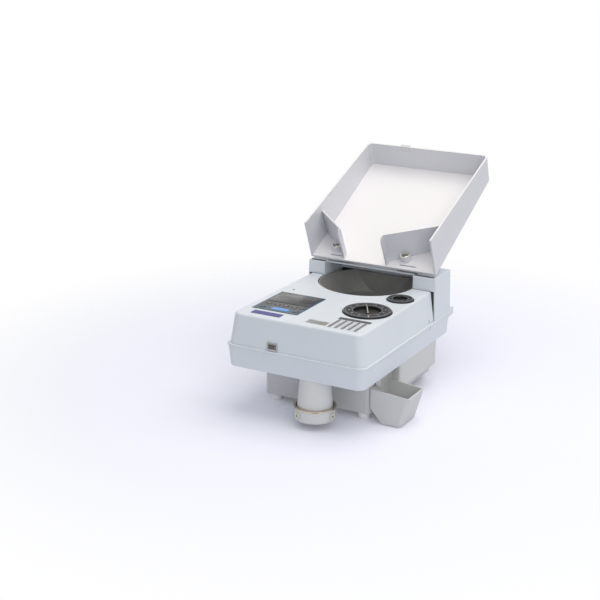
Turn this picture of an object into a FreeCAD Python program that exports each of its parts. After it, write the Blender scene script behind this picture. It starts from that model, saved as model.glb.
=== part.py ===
import FreeCAD, Part
import math
import os
from FreeCAD import Vector

# Casing: x to the right, y to the rear from the front of the lip, z up from the floor
lip_width = 250.0
shell_depth = 350.0
wall = 2.5
shell_bottom_z = 83.0
seam_z = 120.6
cover_top_z = 172.5
housing_top_z = 195.5
shell_corner = 14.0
shell_draft = 3.0
shell_flange = 13.0
edge_round = 1.2
fit_gap = 0.3
running_gap = 0.05
cut_past = 1.0
floor_open_side = 7.0
floor_open_front = 12.0
floor_open_rear = 10.0

# Base under the shell
base_width = 198.0
base_front = 83.0
base_rear_set = 20.0
base_floor_z = 12.0
base_corner = 10.0
skirt_front = 144.0
skirt_rear_set = 30.0
skirt_corner = 3.0
skirt_bottom_z = 40.0
skirt_inner_r = 1.0
louvre_z = (30.0, 60.0)
foot_r = 11.0
foot_inset = 17.0
foot_end_inset = 14.0
foot_chamfer = 1.5
foot_taper = 0.5
foot_edge_h = 1.0

# Top cover
cover_inset = 2.5
cover_top_width = 230.0
cover_front_lean = 3.5
cover_gap = 2.4
cover_edge_round = 4.0
cover_hinge_back = 10.3
cover_hinge_drop = 6.5
hinge_post_x = 101.5
hinge_post_w = 5.0
hinge_post_r = 3.5
post_foot_side = 4.0
post_foot_front = 5.0
post_foot_h = 3.0
cover_pin_r = 2.0
cover_boss_w = 5.5
cover_boss_r = 4.0
cover_boss_gap = 0.6
cover_heel_lift = 2.0

# Rear housing
housing_depth = 71.8
housing_inset = 1.6
housing_lean = 2.4
housing_round = 5.0
lintel_set_back = 9.0
housing_floor_side = 10.0
housing_floor_rear = 20.0
vent_count = 7
vent_pitch = 9.0
vent_w = 4.0
vent_h = 34.0
vent_rise = 11.0
vent_aside = 60.0

# Deck, hopper bowl and feed disc
deck_t = 3.0
deck_edge = 7.5
deck_rear_corner = 1.0
deck_lap = 5.0
recess_gap = 1.0
bowl_x = -5.0
bowl_back = 75.0
bowl_r = 84.0
bowl_wall = 2.0
bowl_rim_drop = 1.2
bowl_flat_set = 12.0
chamber_r = 63.0
chamber_h = 12.0
bowl_exit_w = 34.0
bowl_exit_h = 7.0
bowl_exit_turn = -31.0
bowl_exit_reach = 12.0
notch_gap = 1.5
disc_r = 60.0
disc_t = 4.0
disc_lift = 0.5
disc_chamfer = 1.0
disc_edge = 0.6
disc_hub_r = 16.0
disc_crown_r = 11.0
disc_crown_h = 7.0
disc_peak_h = 9.0
disc_ribs = 3
rib_start = 14.0
rib_set_back = 6.0
rib_w = 4.0
rib_h = 2.0
rib_sink = 1.0
rib_turn = 20.0
disc_shaft_r = 5.0
bearing_r = 11.0
bearing_len = 13.0
bearing_flange_r = 20.0
bearing_flange_t = 3.0

# Drive
motor_aside = 55.0
motor_ahead = 85.0
motor_r = 24.0
motor_len = 56.0
motor_chamfer = 3.0
motor_neck_r = 8.0
motor_neck_h = 3.0
motor_bore_deep = 8.0
motor_shaft_r = 3.0
motor_shaft_in = 7.0
shaft_lap = 1.0
pulley_z = 96.0
pulley_h = 9.0
pulley_flange_t = 1.5
disc_pulley_r = 36.0
motor_pulley_r = 12.0
belt_t = 1.6
belt_seat = 2.5

# Coin path
track_fixed_x = 112.0
track_front = 62.0
track_end_gap = 0.5
roller_front_set = 10.0
roller_rear_set = 14.0
rail_w = 4.0
rail_h = 8.0
moving_rail_h = 3.0
rail_start = 8.0
rail_tail = 12.0
lead_reach = 6.0
lead_out = 8.0
lead_w = 4.0
sweep_edge = 2.0
sweep_out = 8.0
sweep_in = 6.0
sweep_right = 10.0
sweep_bend = 9.0
sweep_left = 20.0
moving_rail_x = 83.0
moving_rail_travel = 12.0
follower_sink = 1.0
roller_r = 8.0
roller_w = 10.0
roller_shaft_r = 2.5
roller_x = 102.0
feed_belt_t = 1.5
feed_belt_in = 0.5
coin_gap = 3.5
belt_arm_x = 108.5
belt_arm_w = 3.5
belt_arm_r = 5.0
arm_lug_w = 12.0
arm_lug_set = 30.0
arm_lap = 1.0
sensor_front = 6.5
sensor_gap = 0.5
sensor_reach = 14.0
sensor_back = 1.0
sensor_h = 5.0
sensor_back_h = 9.0
spout_x = 26.0
spout_y = 29.0
reject_slot_front = 94.0
reject_slot_rear = 136.0
reject_slot_w = 12.0
chute_t = 2.0
chute_drop = 23.0
chute_cheek = 8.0
chute_hole_in = 3.0
chute_hole_out = 5.0
chute_hole_gap = 1.0
chute_lap = 1.0

# Dials
dial_x = 70.5
dial_y = 120.7
dial_r = 40.0
dial_turn_deg = 200.0
dial_shaft_r = 4.0
dial_rise = 3.2
dial_dish_r = 22.4
dial_dish_deep = 5.0
dial_fin_w = 3.4
dial_fin_rise = 1.6
dial_fin_turn = 118.5
dial_seat = 6.0
dial_bore_drop = 4.0
dial_bush_r = 6.5
dial_bush_h = 8.0
cam_r = 8.0
cam_t = 4.0
cam_follower_r = 2.5
cam_gap = 0.6
cam_lead_deg = 25.0
cam_steps = 12
small_dial_x = 88.8
small_dial_share = 0.569
small_dial_r = 22.7
small_dial_rise = 2.6
small_dial_dish_r = 12.5
small_dial_dish_deep = 4.2
gate_screw_r = 3.0
gate_w = 26.0
gate_t = 9.0
gate_h = 20.0
gate_travel = 3.0
gate_screw_in = 13.0
gate_aside = 5.0
gate_overlap = 0.5
gate_end_gap = 1.0
dial_hole_gap = 1.0

# Cover fittings
panel_x = (-102.0, -18.0)
panel_y = (45.0, 146.0)
panel_t = 2.0
panel_sink = 1.2
panel_edge = 0.8
display_board_drop = 7.0
display_board_in = 1.0
chip_x = (20.0, 45.0)
chip_y = (30.0, 50.0)
chip_h = 3.0
chip_lap = 0.5
strip_x = (-90.0, -37.0)
strip_y = (21.0, 36.0)
chart_x = (46.0, 104.0)
chart_y = (18.0, 73.0)
plate_t = 0.6
pocket_x = (8.0, 45.0)
pocket_y = (22.0, 40.0)
pocket_deep = 8.0
latch_x = -39.0
latch_w = 19.0
latch_z = (122.0, 135.0)
latch_t = 2.0
latch_hole_deep = 8.0
bezel_proud = 1.4
bezel_cut = 3.0
button_proud = 2.2
button_in = 3.0
button_gap = 0.2
groove_inset = 4.5
groove_w = 1.6
groove_floor = 1.0

# Coin tray
tray_width = 240.0
tray_wall = 3.0
tray_tilt_deg = 27.7
tray_lip_set = 5.5
tray_lip_z = 200.0
tray_floor_len = 271.3
tray_front_h = 73.7
tray_rear_h = 46.7
tray_end_lean = 5.6
tray_corner = 10.0
tray_cut_past = 12.0
lip_slot_inset = 3.0
lip_slot_u = (8.0, 10.5)
wing_t = 2.5
wing_h = 50.0
wing_rise = 11.0
wing_round = 8.4
wing_past = 5.0
left_wing_u = 67.0
left_outlet = (-55.0, 15.0)
right_wing_u = 74.0
right_outlet = (25.0, 14.0)
outlet_flange = 11.0
well_r = 9.0
well_h = 12.0
well_wall = 2.0
well_back = 3.0
hinge_u = 4.5
knuckle_r = 3.2
hinge_pin_r = 1.5
knuckle_gap = 0.5
leaf_t = 1.5
leaf_len = 34.0
leaf_neck_u = 14.0
leaf_plate_u = 12.0
hinge_past = 5.0
hinge_past_front = 8.0
knuckle_clear = 2.0
knuckle_apart = 1.0
hinge_plate_len = 22.0
hinge_spans = ((-87.0, -52.0), (46.0, 82.0))
hinge_screw_x = (-78.0, 55.0)
hinge_screw_u = 24.0
screw_r = 2.0
screw_head_r = 4.2
screw_head_h = 2.4
screw_head_lean = 0.6
screw_past = 1.5
rest_x = 60.0
rest_w = 14.0
rest_len = 16.0
rest_rear_set = 18.0
clip_x = -44.0
clip_w = 18.0
clip_h = 9.0
clip_t = 1.6

# Reject box
box_front = 81.0
box_rear = 142.0
box_wall = 2.2
box_top_in_z = 58.0
box_top_out_z = 51.6
box_bottom_z = 1.5
box_reach = 68.0
box_bottom_in = 21.0
box_bottom_out = 54.0
box_chamfer_z = 24.5
box_corner = 6.0
hook_w = 7.0
hook_h = 6.0
hook_len = 6.0
hook_inset = 5.0
hook_drop = 6.0
hook_lap = 0.5

# Spout and bag collar
spout_top_r = 25.0
spout_end_r = 29.0
spout_wall = 2.5
spout_cone_z = 33.0
spout_end_z = 13.0
spout_lip_r = 33.5
spout_lip_t = 2.0
spout_neck_r = 21.0
spout_flange_r = 23.2
collar_in_r = 31.5
collar_out_r = 34.0
collar_h = 17.0
ring_h = 2.5
ring_out_r = 35.2
ring_slot_turn = -61.5
ring_slot_w = 11.0
ring_slot_h = 1.2
ring_slot_deep = 2.5
stud_angles = (-115.0, -10.0, 170.0)
stud_r = 2.5
stud_head_r = 5.0
stud_head_t = 2.5
stud_rise = 7.65
stud_seat = 0.2
stud_hole_r = 1.8
stud_hole_deep = 1.5

# Electrics
inlet_x = -60.0
inlet_w = 27.0
inlet_h = 20.0
inlet_flange = 3.0
inlet_flange_t = 2.5
inlet_deep = 18.0
inlet_wall = 2.5
inlet_back_t = 3.0
pin_t = 2.0
pin_h = 4.0
pin_root = 2.0
pin_set_back = 3.0
pin_places = ((-7.0, -2.0), (0.0, 2.0), (7.0, -2.0))
switch_x = -20.0
switch_w = 14.0
switch_h = 20.0
switch_deep = 14.0
switch_flange = 2.0
switch_wall = 2.0
switch_well_deep = 10.0
rocker_rise = 3.0
rocker_end_set = 3.2
rocker_deep = 4.0
rocker_taper = 0.6
rocker_dip = 1.4
rocker_axle_in = 2.0
rocker_axle_r = 1.2
fuse_x = 12.0
fuse_r = 6.5
fuse_len = 22.0
fuse_slip = 0.01
fuse_cap_t = 3.0
fuse_cap_out = 2.0
fuse_slot_len = 10.0
fuse_slot_w = 1.6
fuse_slot_deep = 1.2
rear_fit_z = 101.0
spacer_x = 106.0
spacer_w = 9.0
spacer_reach = 45.0
spacer_taper = 4.5
spacer_z = (96.0, 117.0)
board_t = 1.6
standoff_r = 3.0
standoff_h = 5.0
leg_inset = 6.0
control_x = -108.0
control_front = 30.0
control_size = (80.0, 120.0)
control_blocks = ((13.0, 30.0, 18.0, 18.0, 2.5), (48.0, 15.0, 22.0, 8.0, 9.0), (48.0, 65.0, 12.0, 30.0, 4.0),
                  (10.0, 80.0, 14.0, 10.0, 11.0), (63.0, 40.0, 8.0, 8.0, 7.0))
power_x = -86.0
power_rear_set = 14.0
power_size = (66.0, 68.0)
power_blocks = ((8.0, 22.0, 16.0, 16.0, 22.0), (36.0, 10.0, 20.0, 26.0, 14.0), (44.0, 44.0, 14.0, 10.0, 18.0))
core_x = 34.0
core_rear_set = 56.0
core_size = (52.0, 42.0, 44.0)
winding_in = 6.0
winding_out = 6.0
winding_lift = 8.0
coil_w = 16.0
coil_len = 26.0
coil_aside = 34.0
coil_ahead = 8.0
coil_end_t = 2.0
plunger_r = 3.0
plunger_in = 4.0
plunger_out = 12.0
plunger_head_t = 4.0
plunger_head_r = 6.0

cheek_front = shell_depth - housing_depth
base_rear = shell_depth - base_rear_set
skirt_rear = base_rear - skirt_rear_set
bowl_y = shell_depth - bowl_back
bowl_flat_y = shell_depth - bowl_flat_set
motor_x = bowl_x - motor_aside
motor_y = bowl_y - motor_ahead
small_dial_y = dial_y + small_dial_share * (bowl_y - dial_y)
track_rear = small_dial_y - track_end_gap
tray_lip_y = cheek_front + tray_lip_set
half_lip = lip_width / 2.0
half_base = base_width / 2.0
half_skirt = half_lip - shell_draft
half_cover = half_lip - cover_inset
half_cover_top = cover_top_width / 2.0
half_tray = tray_width / 2.0
deck_top_z = seam_z + deck_t
cover_rear = cheek_front - cover_gap
cover_axis_y = cover_rear - cover_hinge_back
cover_axis_z = cover_top_z - cover_hinge_drop
cover_inner_z = cover_top_z - wall
shell_floor_z = shell_bottom_z + wall
base_inner_z = base_floor_z + wall
tray_tilt = math.radians(tray_tilt_deg)
coin_top_z = deck_top_z + coin_gap
roller_z = coin_top_z + feed_belt_t + roller_r
roller_ys = (track_front + roller_front_set, track_rear - roller_rear_set)
cam_rise = moving_rail_travel / math.radians(dial_turn_deg)
cam_z = deck_top_z + dial_bush_h + fit_gap
collar_z = spout_end_z + spout_lip_t


def block(xs, ys, zs):
    size = [max(v) - min(v) for v in (xs, ys, zs)]
    return Part.makeBox(size[0], size[1], size[2], Vector(min(xs), min(ys), min(zs)))


def post(x, y, zs, r):
    return Part.makeCylinder(r, max(zs) - min(zs), Vector(x, y, min(zs)), Vector(0, 0, 1))


def bar_x(xs, y, z, r):
    return Part.makeCylinder(r, max(xs) - min(xs), Vector(min(xs), y, z), Vector(1, 0, 0))


def bar_y(x, ys, z, r):
    return Part.makeCylinder(r, max(ys) - min(ys), Vector(x, min(ys), z), Vector(0, 1, 0))


def ring_post(x, y, zs, r_out, r_in):
    return post(x, y, zs, r_out).cut(post(x, y, (min(zs) - cut_past, max(zs) + cut_past), r_in))


def joined(shapes):
    first = shapes[0]
    return first.fuse(shapes[1:]).removeSplitter() if len(shapes) > 1 else first


def rounded_outline(xs, ys, z, r_front, r_rear):
    x0, x1 = min(xs), max(xs)
    y0, y1 = min(ys), max(ys)
    corners = ((x1, y0, 1, -1, r_front), (x1, y1, 1, 1, r_rear),
               (x0, y1, -1, 1, r_rear), (x0, y0, -1, -1, r_front))
    runs = []
    for x, y, sx, sy, r in corners:
        before = Vector(x - sx * r, y, z)
        after = Vector(x, y - sy * r, z)
        middle = Vector(x - sx * r * (1 - math.sqrt(0.5)), y - sy * r * (1 - math.sqrt(0.5)), z)
        runs.append((before, middle, after) if sx * sy < 0 else (after, middle, before))
    edges = []
    for i, (start, middle, end) in enumerate(runs):
        edges.append(Part.Arc(start, middle, end).toShape())
        edges.append(Part.LineSegment(end, runs[(i + 1) % 4][0]).toShape())
    return Part.Wire(edges)


def tub(xs, ys, zs, r_front, r_rear, side_in=0.0, front_in=0.0, rear_in=0.0):
    """A block with rounded corners, drawn in at its lower end."""
    low = rounded_outline((min(xs) + side_in, max(xs) - side_in), (min(ys) + front_in, max(ys) - rear_in),
                          min(zs), r_front, r_rear)
    high = rounded_outline(xs, ys, max(zs), r_front, r_rear)
    return Part.makeLoft([low, high], True, True)


def turned(x, y, points):
    """A solid turned about a vertical axis from its (radius, height) outline."""
    wire = Part.makePolygon([Vector(r, 0, z) for r, z in points + points[:1]])
    solid = Part.Face(wire).revolve(Vector(0, 0, 0), Vector(0, 0, 1), 360)
    solid.translate(Vector(x, y, 0))
    return solid


def prism_x(points, xs):
    """A (y, z) outline drawn out along x."""
    wire = Part.makePolygon([Vector(min(xs), y, z) for y, z in points + points[:1]])
    return Part.Face(wire).extrude(Vector(max(xs) - min(xs), 0, 0))


def prism_y(points, ys):
    """An (x, z) outline drawn out along y."""
    wire = Part.makePolygon([Vector(x, min(ys), z) for x, z in points + points[:1]])
    return Part.Face(wire).extrude(Vector(0, max(ys) - min(ys), 0))


def prism_z(points, zs):
    """An (x, y) outline drawn out along z."""
    wire = Part.makePolygon([Vector(x, y, min(zs)) for x, y in points + points[:1]])
    return Part.Face(wire).extrude(Vector(0, 0, max(zs) - min(zs)))


def edges_at_top(solid, z, keep):
    return [e for e in solid.Edges if all(abs(v.Z - z) < 0.01 for v in e.Vertexes) and keep(e.CenterOfMass)]


def base_pan():
    narrow = ((-half_base, half_base), (base_front, base_rear))
    wide = ((-half_skirt, half_skirt), (skirt_front, skirt_rear))
    outer = joined([tub(*narrow, (base_floor_z, shell_bottom_z), base_corner, base_corner),
                    tub(*wide, (skirt_bottom_z, shell_bottom_z), skirt_corner, base_corner)])
    inner_r = base_corner - wall
    inner = joined([
        tub((-half_base + wall, half_base - wall), (base_front + wall, base_rear - wall),
            (base_inner_z, shell_bottom_z + cut_past), inner_r, inner_r),
        tub((-half_skirt + wall, half_skirt - wall), (skirt_front + wall, skirt_rear - wall),
            (skirt_bottom_z + wall, shell_bottom_z + cut_past), skirt_inner_r, inner_r)])
    pan = outer.cut(inner)
    slots = [block((half_base - base_corner, half_base + cut_past), (y - fit_gap, y + hook_w + fit_gap),
                   (hook_z() - fit_gap, hook_z() + hook_h + fit_gap)) for y in hook_ys()]
    back = (base_rear - wall - cut_past, base_rear + cut_past)
    louvres = [block((x - vent_w / 2, x + vent_w / 2), back, louvre_z) for x in vent_places(0.0)]
    return pan.cut(slots + louvres)


def vent_places(centre):
    return [centre + (i - (vent_count - 1) / 2.0) * vent_pitch for i in range(vent_count)]


def hook_ys():
    return (box_front + hook_inset, box_rear - hook_inset - hook_w)


def hook_z():
    return box_top_in_z - hook_drop - hook_h


def foot_places():
    x = half_base - foot_inset
    ys = (base_front + foot_end_inset, base_rear - foot_end_inset)
    return [(side * x, y) for side in (-1, 1) for y in ys]


def rubber_feet():
    profile = [(0, 0), (foot_r - foot_chamfer, 0), (foot_r - foot_taper, foot_edge_h),
               (foot_r, base_floor_z), (0, base_floor_z)]
    return Part.makeCompound([turned(x, y, profile) for x, y in foot_places()])


def lower_shell():
    outer = tub((-half_lip, half_lip), (0.0, shell_depth), (shell_bottom_z, seam_z),
                shell_corner, shell_corner, shell_draft, shell_draft)
    rim = edges_at_top(outer, seam_z, lambda c: c.y < cheek_front)
    outer = outer.makeFillet(edge_round, rim)
    inner_r = shell_corner - wall
    inner = tub((-half_lip + wall, half_lip - wall), (wall, shell_depth - wall),
                (shell_floor_z, seam_z - deck_t), inner_r, inner_r, shell_draft, shell_draft)
    mouth = block((-half_lip + shell_flange, half_lip - shell_flange),
                  (shell_flange, shell_depth - shell_flange), (seam_z - deck_t - cut_past, seam_z + cut_past))
    floor = (shell_bottom_z - cut_past, shell_floor_z + cut_past)
    well = block((-half_base + floor_open_side, half_base - floor_open_side),
                 (base_front + floor_open_front, base_rear - floor_open_rear), floor)
    chute_ys = (reject_slot_front - chute_hole_gap, reject_slot_rear + chute_hole_gap)
    chute = block(chute_hole_x(), chute_ys, floor)
    height = (shell_bottom_z - cut_past, seam_z + cut_past)
    spout_hole = post(spout_x, spout_y, height, spout_neck_r + fit_gap)
    rear = (shell_depth - wall - cut_past, shell_depth + cut_past)
    inlet = block((inlet_x - inlet_w / 2, inlet_x + inlet_w / 2), rear,
                  (rear_fit_z - inlet_h / 2, rear_fit_z + inlet_h / 2))
    switch = block((switch_x - switch_w / 2, switch_x + switch_w / 2), rear,
                   (rear_fit_z - switch_h / 2, rear_fit_z + switch_h / 2))
    fuse = bar_y(fuse_x, rear, rear_fit_z, fuse_r)
    return outer.cut([inner, mouth, well, chute, spout_hole, inlet, switch, fuse])


def chute_hole_x():
    return (half_base + chute_hole_in, half_skirt - chute_hole_out)


def housing_block(inset, top_z, front):
    """The rear housing's outline, leaning in towards its top."""
    low = half_lip - housing_inset - inset
    high = low - housing_lean
    rear = shell_depth - inset
    return prism_y([(-low, seam_z), (low, seam_z), (high, top_z), (-high, top_z)], (front, rear))


def rear_edges(solid):
    """The two uprights and the top edge at the back of the housing."""
    return [e for e in solid.Edges if all(v.Y > shell_depth - 0.01 for v in e.Vertexes)
            and max(v.Z for v in e.Vertexes) > housing_top_z - 0.01]


def recess_x():
    return (bowl_x - bowl_r - recess_gap, bowl_x + bowl_r + recess_gap)


def rear_housing():
    outer = housing_block(0.0, housing_top_z, cheek_front)
    outer = outer.makeFillet(housing_round, rear_edges(outer))
    front_tops = edges_at_top(outer, housing_top_z, lambda c: c.y < cheek_front + 0.01)
    outer = outer.makeFillet(edge_round, front_tops)
    inner = housing_block(wall, housing_top_z - wall, cheek_front + wall)
    inner = inner.fuse(block((-half_lip + housing_floor_side, half_lip - housing_floor_side),
                             (cheek_front + wall, shell_depth - housing_floor_rear),
                             (seam_z - cut_past, seam_z + cut_past)))
    side_z = (seam_z + cut_past, housing_top_z - wall)
    sides = [block((x - wall, x), (cheek_front, shell_depth - wall), side_z)
             for x in (recess_x()[0], recess_x()[1] + wall)]
    hollow = inner.cut(sides)
    height = (seam_z - cut_past, housing_top_z + cut_past)
    recess = block(recess_x(), (cheek_front - cut_past, cheek_front + wall + cut_past), height)
    open_top = block(recess_x(), (cheek_front - cut_past, cheek_front + lintel_set_back), height)
    back = (shell_depth - wall - cut_past, shell_depth + cut_past)
    vent_z = (seam_z + vent_rise, seam_z + vent_rise + vent_h)
    vents = [block((x - vent_w / 2, x + vent_w / 2), back, vent_z)
             for x in vent_places(-vent_aside) + vent_places(vent_aside)]
    return outer.cut([hollow, recess, open_top] + vents)


def cover_loft(inset, top_z, round_r):
    """The cover's leaning outline, run past its rear edge and cut off square there."""
    past = cover_rear + 3 * shell_corner
    front = cover_inset + cover_front_lean
    low = rounded_outline((-half_cover + inset, half_cover - inset), (cover_inset + inset, past),
                          seam_z, shell_corner - inset, shell_corner - inset)
    high = rounded_outline((-half_cover_top + inset, half_cover_top - inset), (front + inset, past),
                           top_z, shell_corner - inset, shell_corner - inset)
    solid = Part.makeLoft([low, high], True, True)
    return solid.makeFillet(round_r, edges_at_top(solid, top_z, lambda c: True))


def top_cover():
    rear_off = block((-lip_width, lip_width), (cover_rear, shell_depth + lip_width), (0.0, 2 * cover_top_z))
    outer = cover_loft(0.0, cover_top_z, cover_edge_round).cut(rear_off)
    shell = outer.cut(cover_loft(wall, cover_inner_z, cover_edge_round - wall))
    through = (cover_inner_z - cut_past, cover_top_z + cut_past)
    pocket_low = cover_top_z - pocket_deep
    pocket = block((pocket_x[0] - wall, pocket_x[1] + wall), (pocket_y[0] - wall, pocket_y[1] + wall),
                   (pocket_low - wall, cover_inner_z))
    bosses = [cover_boss(side) for side in (-1, 1)]
    studs = [post(x, y, (board_z() + board_t, cover_inner_z), standoff_r) for x, y in display_board_holes()]
    shell = joined([shell, pocket] + bosses + studs)
    cuts = [post(bowl_x, bowl_y, through, bowl_r + notch_gap),
            post(dial_x, dial_y, through, dial_r + dial_hole_gap),
            post(small_dial_x, small_dial_y, through, small_dial_r + dial_hole_gap),
            block(panel_x, panel_y, (cover_top_z - panel_sink, cover_top_z + cut_past)),
            block(pocket_x, pocket_y, (pocket_low, cover_top_z + cut_past)),
            block((latch_x - latch_w / 2 + latch_t, latch_x + latch_w / 2 - latch_t),
                  (0.0, cover_inset + latch_hole_deep), (latch_z[0] + latch_t, latch_z[1] - latch_t))]
    heel = cover_axis_y - hinge_post_r
    cuts.append(prism_x([(heel, seam_z), (cover_rear + cut_past, seam_z - cut_past),
                         (cover_rear + cut_past, seam_z + cover_heel_lift)], (-half_lip, half_lip)))
    cuts += [bar_x(boss_x(side), cover_axis_y, cover_axis_z, cover_pin_r + running_gap) for side in (-1, 1)]
    return shell.cut(cuts)


def boss_x(side):
    near = hinge_post_x + hinge_post_w / 2 + cover_boss_gap
    return (side * near, side * (near + cover_boss_w))


def cover_boss(side):
    xs = boss_x(side)
    web = block(xs, (cover_axis_y - cover_boss_r, cover_axis_y + cover_boss_r), (cover_axis_z, cover_inner_z))
    return bar_x(xs, cover_axis_y, cover_axis_z, cover_boss_r).fuse(web)


def cover_hinge_posts():
    posts = []
    for side in (-1, 1):
        xs = (side * (hinge_post_x - hinge_post_w / 2), side * (hinge_post_x + hinge_post_w / 2))
        ys = (cover_axis_y - hinge_post_r, cover_axis_y + hinge_post_r)
        upright = block(xs, ys, (deck_top_z, cover_axis_z))
        foot = block((min(xs) - post_foot_side, max(xs) + post_foot_side), (ys[0] - post_foot_front, ys[1]),
                     (deck_top_z, deck_top_z + post_foot_h))
        arm = joined([upright, foot, bar_x(xs, cover_axis_y, cover_axis_z, hinge_post_r)])
        posts.append(arm.cut(bar_x(xs, cover_axis_y, cover_axis_z, cover_pin_r)))
    return Part.makeCompound(posts)


def cover_hinge_pins():
    pins = []
    for side in (-1, 1):
        near = side * (hinge_post_x - hinge_post_w / 2)
        pins.append(bar_x((near, boss_x(side)[1]), cover_axis_y, cover_axis_z, cover_pin_r))
    return Part.makeCompound(pins)


def deck_plate():
    half = half_lip - deck_edge
    zs = (seam_z, deck_top_z)
    main = tub((-half, half), (deck_edge, cover_rear), zs, shell_corner, deck_rear_corner)
    rear_x = (recess_x()[0] + fit_gap, recess_x()[1] - fit_gap)
    plate = joined([main, block(rear_x, (cover_rear - deck_lap, shell_depth - deck_edge), zs)])
    through = (seam_z - cut_past, deck_top_z + cut_past)
    cuts = [post(bowl_x, bowl_y, through, bearing_r + fit_gap),
            post(spout_x, spout_y, through, spout_neck_r - spout_wall),
            block((track_fixed_x - reject_slot_w, track_fixed_x), (reject_slot_front, reject_slot_rear),
                  through),
            post(dial_x, dial_y, through, dial_shaft_r + running_gap)]
    return plate.cut(cuts)


def hopper_bowl():
    top = cover_top_z - bowl_rim_drop
    low = deck_top_z
    shelf = low + chamber_h
    out_r = chamber_r + bowl_wall
    outer = turned(bowl_x, bowl_y, [(0, low), (out_r, low), (out_r, shelf), (bowl_r, top), (0, top)])
    rim_r = bowl_r - bowl_wall
    inner = turned(bowl_x, bowl_y, [(0, low - cut_past), (chamber_r, low - cut_past), (chamber_r, shelf),
                                    (rim_r, top), (rim_r, top + cut_past), (0, top + cut_past)])
    reach = (bowl_x - bowl_r - cut_past, bowl_x + bowl_r + cut_past)
    front = bowl_y - bowl_r - cut_past
    outer = outer.common(block(reach, (front, bowl_flat_y), (low, top)))
    inner = inner.common(block(reach, (front, bowl_flat_y - bowl_wall), (low - cut_past, top + cut_past)))
    exit_cut = block((chamber_r - bowl_exit_reach, chamber_r + bowl_exit_reach),
                     (-bowl_exit_w / 2, bowl_exit_w / 2), (low - cut_past, low + bowl_exit_h))
    exit_cut.rotate(Vector(0, 0, 0), Vector(0, 0, 1), bowl_exit_turn)
    exit_cut.translate(Vector(bowl_x, bowl_y, 0))
    return outer.cut([inner, exit_cut])


def feed_disc():
    low = deck_top_z + disc_lift
    top = low + disc_t
    disc = turned(bowl_x, bowl_y, [(0, low), (disc_r - disc_chamfer, low), (disc_r, low + disc_chamfer),
                                   (disc_r, top - disc_edge), (disc_r - disc_edge, top), (disc_hub_r, top),
                                   (disc_crown_r, top + disc_crown_h), (0, top + disc_peak_h)])
    ribs = []
    for i in range(disc_ribs):
        rib = block((rib_start, disc_r - rib_set_back), (-rib_w / 2, rib_w / 2),
                    (top - rib_sink, top + rib_h))
        rib.rotate(Vector(0, 0, 0), Vector(0, 0, 1), i * 360.0 / disc_ribs + rib_turn)
        rib.translate(Vector(bowl_x, bowl_y, 0))
        ribs.append(rib)
    disc = joined([disc] + ribs)
    return disc.cut(post(bowl_x, bowl_y, (low - cut_past, top), disc_shaft_r))


def disc_shaft():
    return post(bowl_x, bowl_y, (pulley_z, deck_top_z + disc_lift + disc_t), disc_shaft_r)


def disc_bearing():
    top = deck_top_z
    low = top - bearing_len
    flange_top = seam_z
    flange_low = flange_top - bearing_flange_t
    bore_r = disc_shaft_r + running_gap
    outline = [(bore_r, low), (bearing_r, low), (bearing_r, flange_low), (bearing_flange_r, flange_low),
               (bearing_flange_r, flange_top), (bearing_r, flange_top), (bearing_r, top), (bore_r, top)]
    return turned(bowl_x, bowl_y, outline)


def pulley(x, y, r, bore_r):
    low = pulley_z
    top = low + pulley_h
    seat = r - belt_seat
    return turned(x, y, [(bore_r, low), (r, low), (r, low + pulley_flange_t), (seat, low + pulley_flange_t),
                         (seat, top - pulley_flange_t), (r, top - pulley_flange_t), (r, top), (bore_r, top)])


def loop_face(x1, y1, r1, x2, y2, r2, z):
    """The outline of a belt round two wheels, as straight runs and arcs."""
    dx, dy = x2 - x1, y2 - y1
    reach = math.hypot(dx, dy)
    heading = math.atan2(dy, dx)
    spread = math.acos((r1 - r2) / reach)

    def at(x, y, r, a):
        return Vector(x + r * math.cos(a), y + r * math.sin(a), z)

    a, b = heading + spread, heading - spread
    runs = [Part.Arc(at(x1, y1, r1, a), at(x1, y1, r1, heading + math.pi), at(x1, y1, r1, b)).toShape(),
            Part.LineSegment(at(x1, y1, r1, b), at(x2, y2, r2, b)).toShape(),
            Part.Arc(at(x2, y2, r2, b), at(x2, y2, r2, heading), at(x2, y2, r2, a)).toShape(),
            Part.LineSegment(at(x2, y2, r2, a), at(x1, y1, r1, a)).toShape()]
    return Part.Face(Part.Wire(runs))


def drive_belt():
    low = pulley_z + pulley_flange_t + fit_gap
    high = pulley_h - 2 * (pulley_flange_t + fit_gap)
    inside = [r - belt_seat + fit_gap for r in (disc_pulley_r, motor_pulley_r)]
    outer = loop_face(bowl_x, bowl_y, inside[0] + belt_t, motor_x, motor_y, inside[1] + belt_t, low)
    inner = loop_face(bowl_x, bowl_y, inside[0], motor_x, motor_y, inside[1], low)
    return outer.cut(inner).extrude(Vector(0, 0, high))


def drive_motor():
    top = base_inner_z + motor_len
    neck_top = top + motor_neck_h
    can = turned(motor_x, motor_y, [(0, base_inner_z), (motor_r, base_inner_z),
                                    (motor_r, top - motor_chamfer), (motor_r - motor_chamfer, top),
                                    (motor_neck_r, top), (motor_neck_r, neck_top), (0, neck_top)])
    bore_z = (top - motor_bore_deep, neck_top + cut_past)
    return can.cut(post(motor_x, motor_y, bore_z, motor_shaft_r + running_gap))


def motor_pulley():
    shaft_low = base_inner_z + motor_len - motor_shaft_in
    shaft = post(motor_x, motor_y, (shaft_low, pulley_z + shaft_lap), motor_shaft_r)
    return joined([pulley(motor_x, motor_y, motor_pulley_r, motor_shaft_r), shaft,
                   post(motor_x, motor_y, (pulley_z, pulley_z + pulley_h), motor_shaft_r)])


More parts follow.
